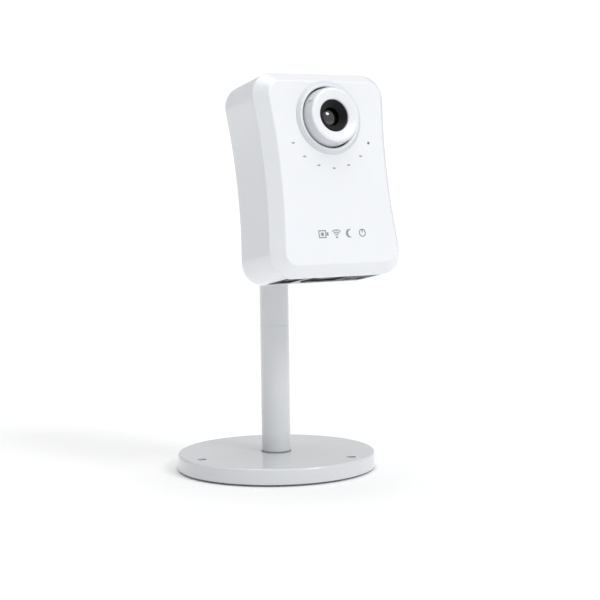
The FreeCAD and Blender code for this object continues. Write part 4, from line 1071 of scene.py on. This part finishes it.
@dataclass
class LensGroup:
    """Bezel on the face, hand ring with grip notches, and the barrel with its black cone and glass."""

    head: Seat
    focus: Seat
    lens: Seat
    facets: int = 160
    bezel_outline: Profile = (
        (14.1, -2), (16.3, -2), (16.3, 0), (17.0, 0), (16.9, 0.25), (15.3, 1.3), (14.5, 1.3), (14.1, 0.9))
    bezel_crest: tuple[float, float] = (15.35, 1.25)
    ring_outline: Profile = (
        (10.0, -2.2), (13.4, -2.2), (13.4, 0.0), (12.95, 4.7), (12.3, 5.9), (11.4, 6.3), (10.6, 6.15),
        (8.1, 5.35), (7.6, 5.1), (7.4, 4.75), (7.4, -2.0))
    ring_crest: tuple[float, float] = (12.25, 5.9)
    notches: int = 3
    notch_place: tuple[float, float, float] = (13.5, 0.0, 5.2)
    flange_outline: Profile = (
        (9.55, -9.9), (11.5, -9.9), (11.5, -4.3), (16.0, -4.3), (16.0, -2.3), (9.55, -2.3))
    barrel_outline: Profile = (
        (5.4, -18), (6.8, -18), (6.8, -4.5), (7.2, -4.5), (7.2, 4.6), (6.7, 4.6), (6.7, 0.2), (5.2, 0.2),
        (5.2, -2.8), (4.6, -2.8), (4.6, -14.5), (5.4, -14.5))
    pocket_radius: float = 6.7
    cone_front: float = 4.4
    cone_floor: float = 2.1
    cone_mouth: float = 6.4
    cone_throat: float = 4.2
    cone_steps: int = 7
    glass_radius: float = 5.2
    glass_shoulder: float = 0.2
    glass_apex: float = 1.9
    glass_back: float = -2.8

    def build(self) -> None:
        """Make the bezel, the ring and the optics."""
        self.bezel()
        self.hand_ring()
        self.barrel()

    def bezel(self) -> None:
        """Make the raised ring that is part of the face."""
        shape = Shape().turned(self.bezel_outline, self.facets).softened(0.15, 3, 20)
        ridge = shape.to_object("bezel_ridge", self.head.matrix)
        show(ridge, self.head, WHITE_ABS, ("bezel_ring",))
        self.dress_grip_and_painted_shade(ridge, self.head.matrix, *self.bezel_crest)

    def hand_ring(self) -> None:
        """Make the focus ring: rounded nose, shallow mouth, three grip notches and its black flange."""
        shape = Shape().turned(self.ring_outline, self.facets).softened(0.3, 3, 24)
        ring = shape.to_object("focus_hand_ring", self.focus.matrix)
        drums = Shape()
        for index in range(self.notches):
            turn = Matrix.Rotation(math.radians(30 + 360 / self.notches * index), 4, "Z")
            drums.with_drum(1.0, 6, turn @ Matrix.Translation(self.notch_place), 24)
        carve(ring, drums.to_object("notch_drums", self.focus.matrix))
        show(ring, self.focus, WHITE_ABS, ("focus_ring",), crease=26)
        self.dress_grip_and_painted_shade(ring, self.focus.matrix, *self.ring_crest)
        flange = Shape().turned(self.flange_outline).softened(0.15, 2)
        show(flange.to_object("focus_ring_flange", self.focus.matrix), self.focus, BLACK_PC)

    @staticmethod
    def dress_grip_and_painted_shade(piece: bpy.types.Object, place: Matrix, radius: float, height: float) -> None:
        """Give a ring's outer side the matt grip finish with its painted shade, a darker white, and leave its
        crest polished.

        Args:
            piece: The finished ring.
            place: Its frame.
            radius: What lies further out than this is matt and painted a shade darker.
            height: What lies higher than this stays polished.
        """
        # The grip material's darker white is painted shade on the ring's sloping outer side.
        piece.data.materials.append(GRIP_ABS_PAINTED_SHADE.material())
        to_ring = place.inverted()
        for polygon in piece.data.polygons:
            middle = to_ring @ polygon.center
            if middle.xy.length > radius and 0 < middle.z < height:
                polygon.material_index = 1

    def barrel(self) -> None:
        """Make the barrel, the stepped black cone and the domed glass."""
        barrel = Shape().turned(self.barrel_outline).softened(0.1, 2)
        show(barrel.to_object("lens_barrel_turned", self.lens.matrix), self.lens, BLACK_PC, ("lens_barrel",))
        cone = Shape().turned(self.cone_profile()).softened(0.05, 1)
        show(cone.to_object("lens_cone_stepped", self.lens.matrix), self.lens, THROAT_PAINT,
             ("lens_retainer",))
        glass = Shape().turned(self.dome_profile())
        show(glass.to_object("lens_front_glass", self.lens.matrix), self.lens, COATED_GLASS, ("front_lens",))

    def cone_profile(self) -> Profile:
        """Outline the cone, whose steps lead from its mouth down to its throat.

        Returns:
            The closed outline, from the glass's edge.
        """
        front, steps = self.cone_front, self.cone_steps
        fall = (front - self.cone_floor) / (steps + 1)
        outline = [(self.glass_radius, self.glass_shoulder), (self.pocket_radius, self.glass_shoulder),
                   (self.pocket_radius, front)]
        for index in range(steps + 1):
            radius = self.cone_mouth + (self.cone_throat - self.cone_mouth) * index / steps
            outline += [(radius, front - fall * index), (radius, front - fall * (index + 1))]
        return outline + [(self.glass_radius, 1.2)]

    def dome_profile(self, steps: int = 16) -> Profile:
        """Outline the glass: a drum with a spherical dome.

        Args:
            steps: Facets from the dome's edge to its apex.

        Returns:
            The outline from the middle of the back, round the edge, to the apex.
        """
        edge, apex, back = self.glass_radius, self.glass_apex, self.glass_back
        rise = apex - self.glass_shoulder
        radius = (edge ** 2 + rise ** 2) / (2 * rise)
        across = [edge * (1 - index / steps) for index in range(steps + 1)]
        arc = [(r, apex - radius + math.sqrt(radius ** 2 - r ** 2)) for r in across]
        return [(0.0, back), (edge, back)] + arc


# ---------------------------------------------------------------- carried nodes

def dress_carried_nodes() -> None:
    """Give each CAD node that stays its own finish."""
    for name, finish in CARRIED_FINISHES.items():
        node = frame["nodes"][name]
        node.data.materials.clear()
        node.data.materials.append(finish.material())
        LOG.info("%s: %s", name, finish.name)


# ---------------------------------------------------------------- studio

@dataclass(frozen=True)
class SoftSun:
    """A broad, far soft box: the way to it, its strength and how wide it looks, in degrees."""

    name: str
    towards: tuple[float, float, float]
    strength: float
    width: float


@dataclass
class Studio:
    """Pale floor, a white backdrop, a dimmer room with a bright right front, two soft boxes and the camera.

    The backdrop is what the camera sees of the room. The other levels are what lights the object: the wall
    behind it, the sides, and what the right front adds to them.
    """

    eye: Vector = field(default_factory=lambda: Vector((-0.3635, -0.6266, 0.1391)))
    look: Vector = field(default_factory=lambda: Vector((0.5151, 0.8535, -0.0786)))
    roll: float = -0.804
    lens_mm: float = 89.9
    backdrop: float = 1.08
    wall_light: float = 0.62
    side_light: float = 0.46
    window_light: float = 0.31
    boxes: tuple[SoftSun, ...] = (
        SoftSun("key_box", (0.24, -0.74, 0.62), 0.70, 16.0),
        SoftSun("top_box", (0.05, -0.05, 1.0), 1.42, 60.0),
    )

    def build(self) -> None:
        """Make the floor, the light and the camera."""
        bpy.context.scene.view_settings.view_transform = "Standard"
        self.floor()
        self.surroundings()
        for box in self.boxes:
            self.hang(box)
        self.camera()

    def floor(self) -> None:
        """Lay a large pale floor."""
        shape = Shape()
        bmesh.ops.create_grid(shape.mesh, x_segments=1, y_segments=1, size=4.0)
        ground = shape.to_object("studio_floor", Matrix.Identity(4))
        ground.data.materials.append(SEAMLESS_PAPER.material())

    def surroundings(self) -> None:
        """Light the room: brighter low down behind the object and at the right front, and white as seen."""
        world = bpy.data.worlds.new("studio_room")
        world.use_nodes = True
        tree = world.node_tree
        tree.nodes.clear()
        way = add_node(tree, "TexCoord").outputs["Generated"]
        ahead = Vector((self.look.x, self.look.y, 0)).normalized()
        behind, across = (
            add_node(tree, "VectorMath", {"operation": "DOT_PRODUCT"}, {0: way, 1: axis}).outputs["Value"]
            for axis in (ahead, ahead.cross(UPWARD)))
        height = add_node(tree, "SeparateXYZ", inputs={0: way}).outputs["Z"]
        near, low, window, front = (
            add_node(tree, "MapRange", {"interpolation_type": "SMOOTHSTEP"}, {
                "Value": value, "From Min": begin, "From Max": end, "To Min": before, "To Max": after})
            .outputs["Result"] for value, begin, end, before, after in (
                (behind, 0.45, 0.88, 0.0, 1.0), (height, 0.16, 0.34, 1.0, 0.0),
                (across, -0.35, 0.35, 0.0, self.window_light), (behind, -0.3, 0.3, 1.0, 0.0)))
        share, fill = (add_node(tree, "Math", {"operation": "MULTIPLY"}, {0: one, 1: other}).outputs["Value"]
                       for one, other in ((near, low), (window, front)))
        wall = add_node(tree, "MapRange", inputs={
            "Value": share, "From Min": 0.0, "From Max": 1.0,
            "To Min": self.side_light, "To Max": self.wall_light})
        level = add_node(tree, "Math", {"operation": "ADD"}, {0: wall.outputs["Result"], 1: fill})
        seen = add_node(tree, "LightPath").outputs["Is Camera Ray"]
        strength = add_node(tree, "Mix", inputs={0: seen, 2: level.outputs["Value"], 3: self.backdrop})
        light = add_node(tree, "Background", inputs={
            "Color": (0.985, 0.99, 1.0, 1.0), "Strength": strength.outputs[0]})
        add_node(tree, "OutputWorld", inputs={"Surface": light.outputs["Background"]})
        bpy.context.scene.world = world

    @staticmethod
    def hang(box: SoftSun) -> None:
        """Hang one soft box.

        Args:
            box: Its direction, strength and width.
        """
        data = bpy.data.lights.new(box.name, "SUN")
        data.energy = box.strength
        data.angle = math.radians(box.width)
        lamp = bpy.data.objects.new(box.name, data)
        lamp.rotation_euler = Vector(box.towards).to_track_quat("Z", "Y").to_euler()
        bpy.context.scene.collection.objects.link(lamp)

    def camera(self) -> None:
        """Set the camera by its place, its aim and its slight roll."""
        data = bpy.data.cameras.new("eye")
        data.sensor_width = 36.0
        data.lens = self.lens_mm
        data.clip_start = 0.01
        data.clip_end = 20.0
        camera = bpy.data.objects.new("eye", data)
        bpy.context.scene.collection.objects.link(camera)
        back = -self.look.normalized()
        right = UPWARD.cross(back).normalized()
        level = Matrix((right, back.cross(right), back)).transposed()
        turn = Matrix.Rotation(math.radians(self.roll), 3, "Z")
        camera.matrix_world = Matrix.Translation(self.eye) @ (level @ turn).to_4x4()
        bpy.context.scene.camera = camera


# ---------------------------------------------------------------- main

def seats() -> dict[str, Seat]:
    """Work out each sub-assembly's frame from the joints.

    Returns:
        The seats by name: head, lens frames and stud frames.
    """
    face_point, out = joint_axis("focus_turn")
    stud_point, _ = joint_axis("roll")
    ball_point, _ = joint_axis("tilt")
    rear = -out
    up = RIGHT.cross(rear)
    centre = stud_point - rear * (HeadShell.depth / 2) * MM + up * HeadShell.stud_drop * MM
    head = frame_matrix(centre, RIGHT, up)
    lens = frame_matrix(face_point, RIGHT, out)
    stud = frame_matrix(ball_point, RIGHT, out)
    return {
        "head": Seat("head", head), "bezel": Seat("head", lens), "focus": Seat("focus", lens),
        "lens": Seat("lens", lens), "ball": Seat("ball_joint", stud), "lock": Seat("lock", stud),
        "reset": Seat("reset", head),
    }


def main() -> None:
    """Build the camera, its stand and the studio."""
    logging.basicConfig(level=logging.INFO, format="%(name)s: %(message)s")
    places = seats()
    dress_carried_nodes()
    Base().build()
    Pole().build()
    PanHead().build()
    BallJoint(places["ball"], places["lock"]).build()
    HeadShell(places["head"]).build()
    LensGroup(places["bezel"], places["focus"], places["lens"]).build()
    softened_node("reset_button", places["reset"], GREY_ABS, 0.15)
    Studio().build()


if __name__ == "__main__":
    main()
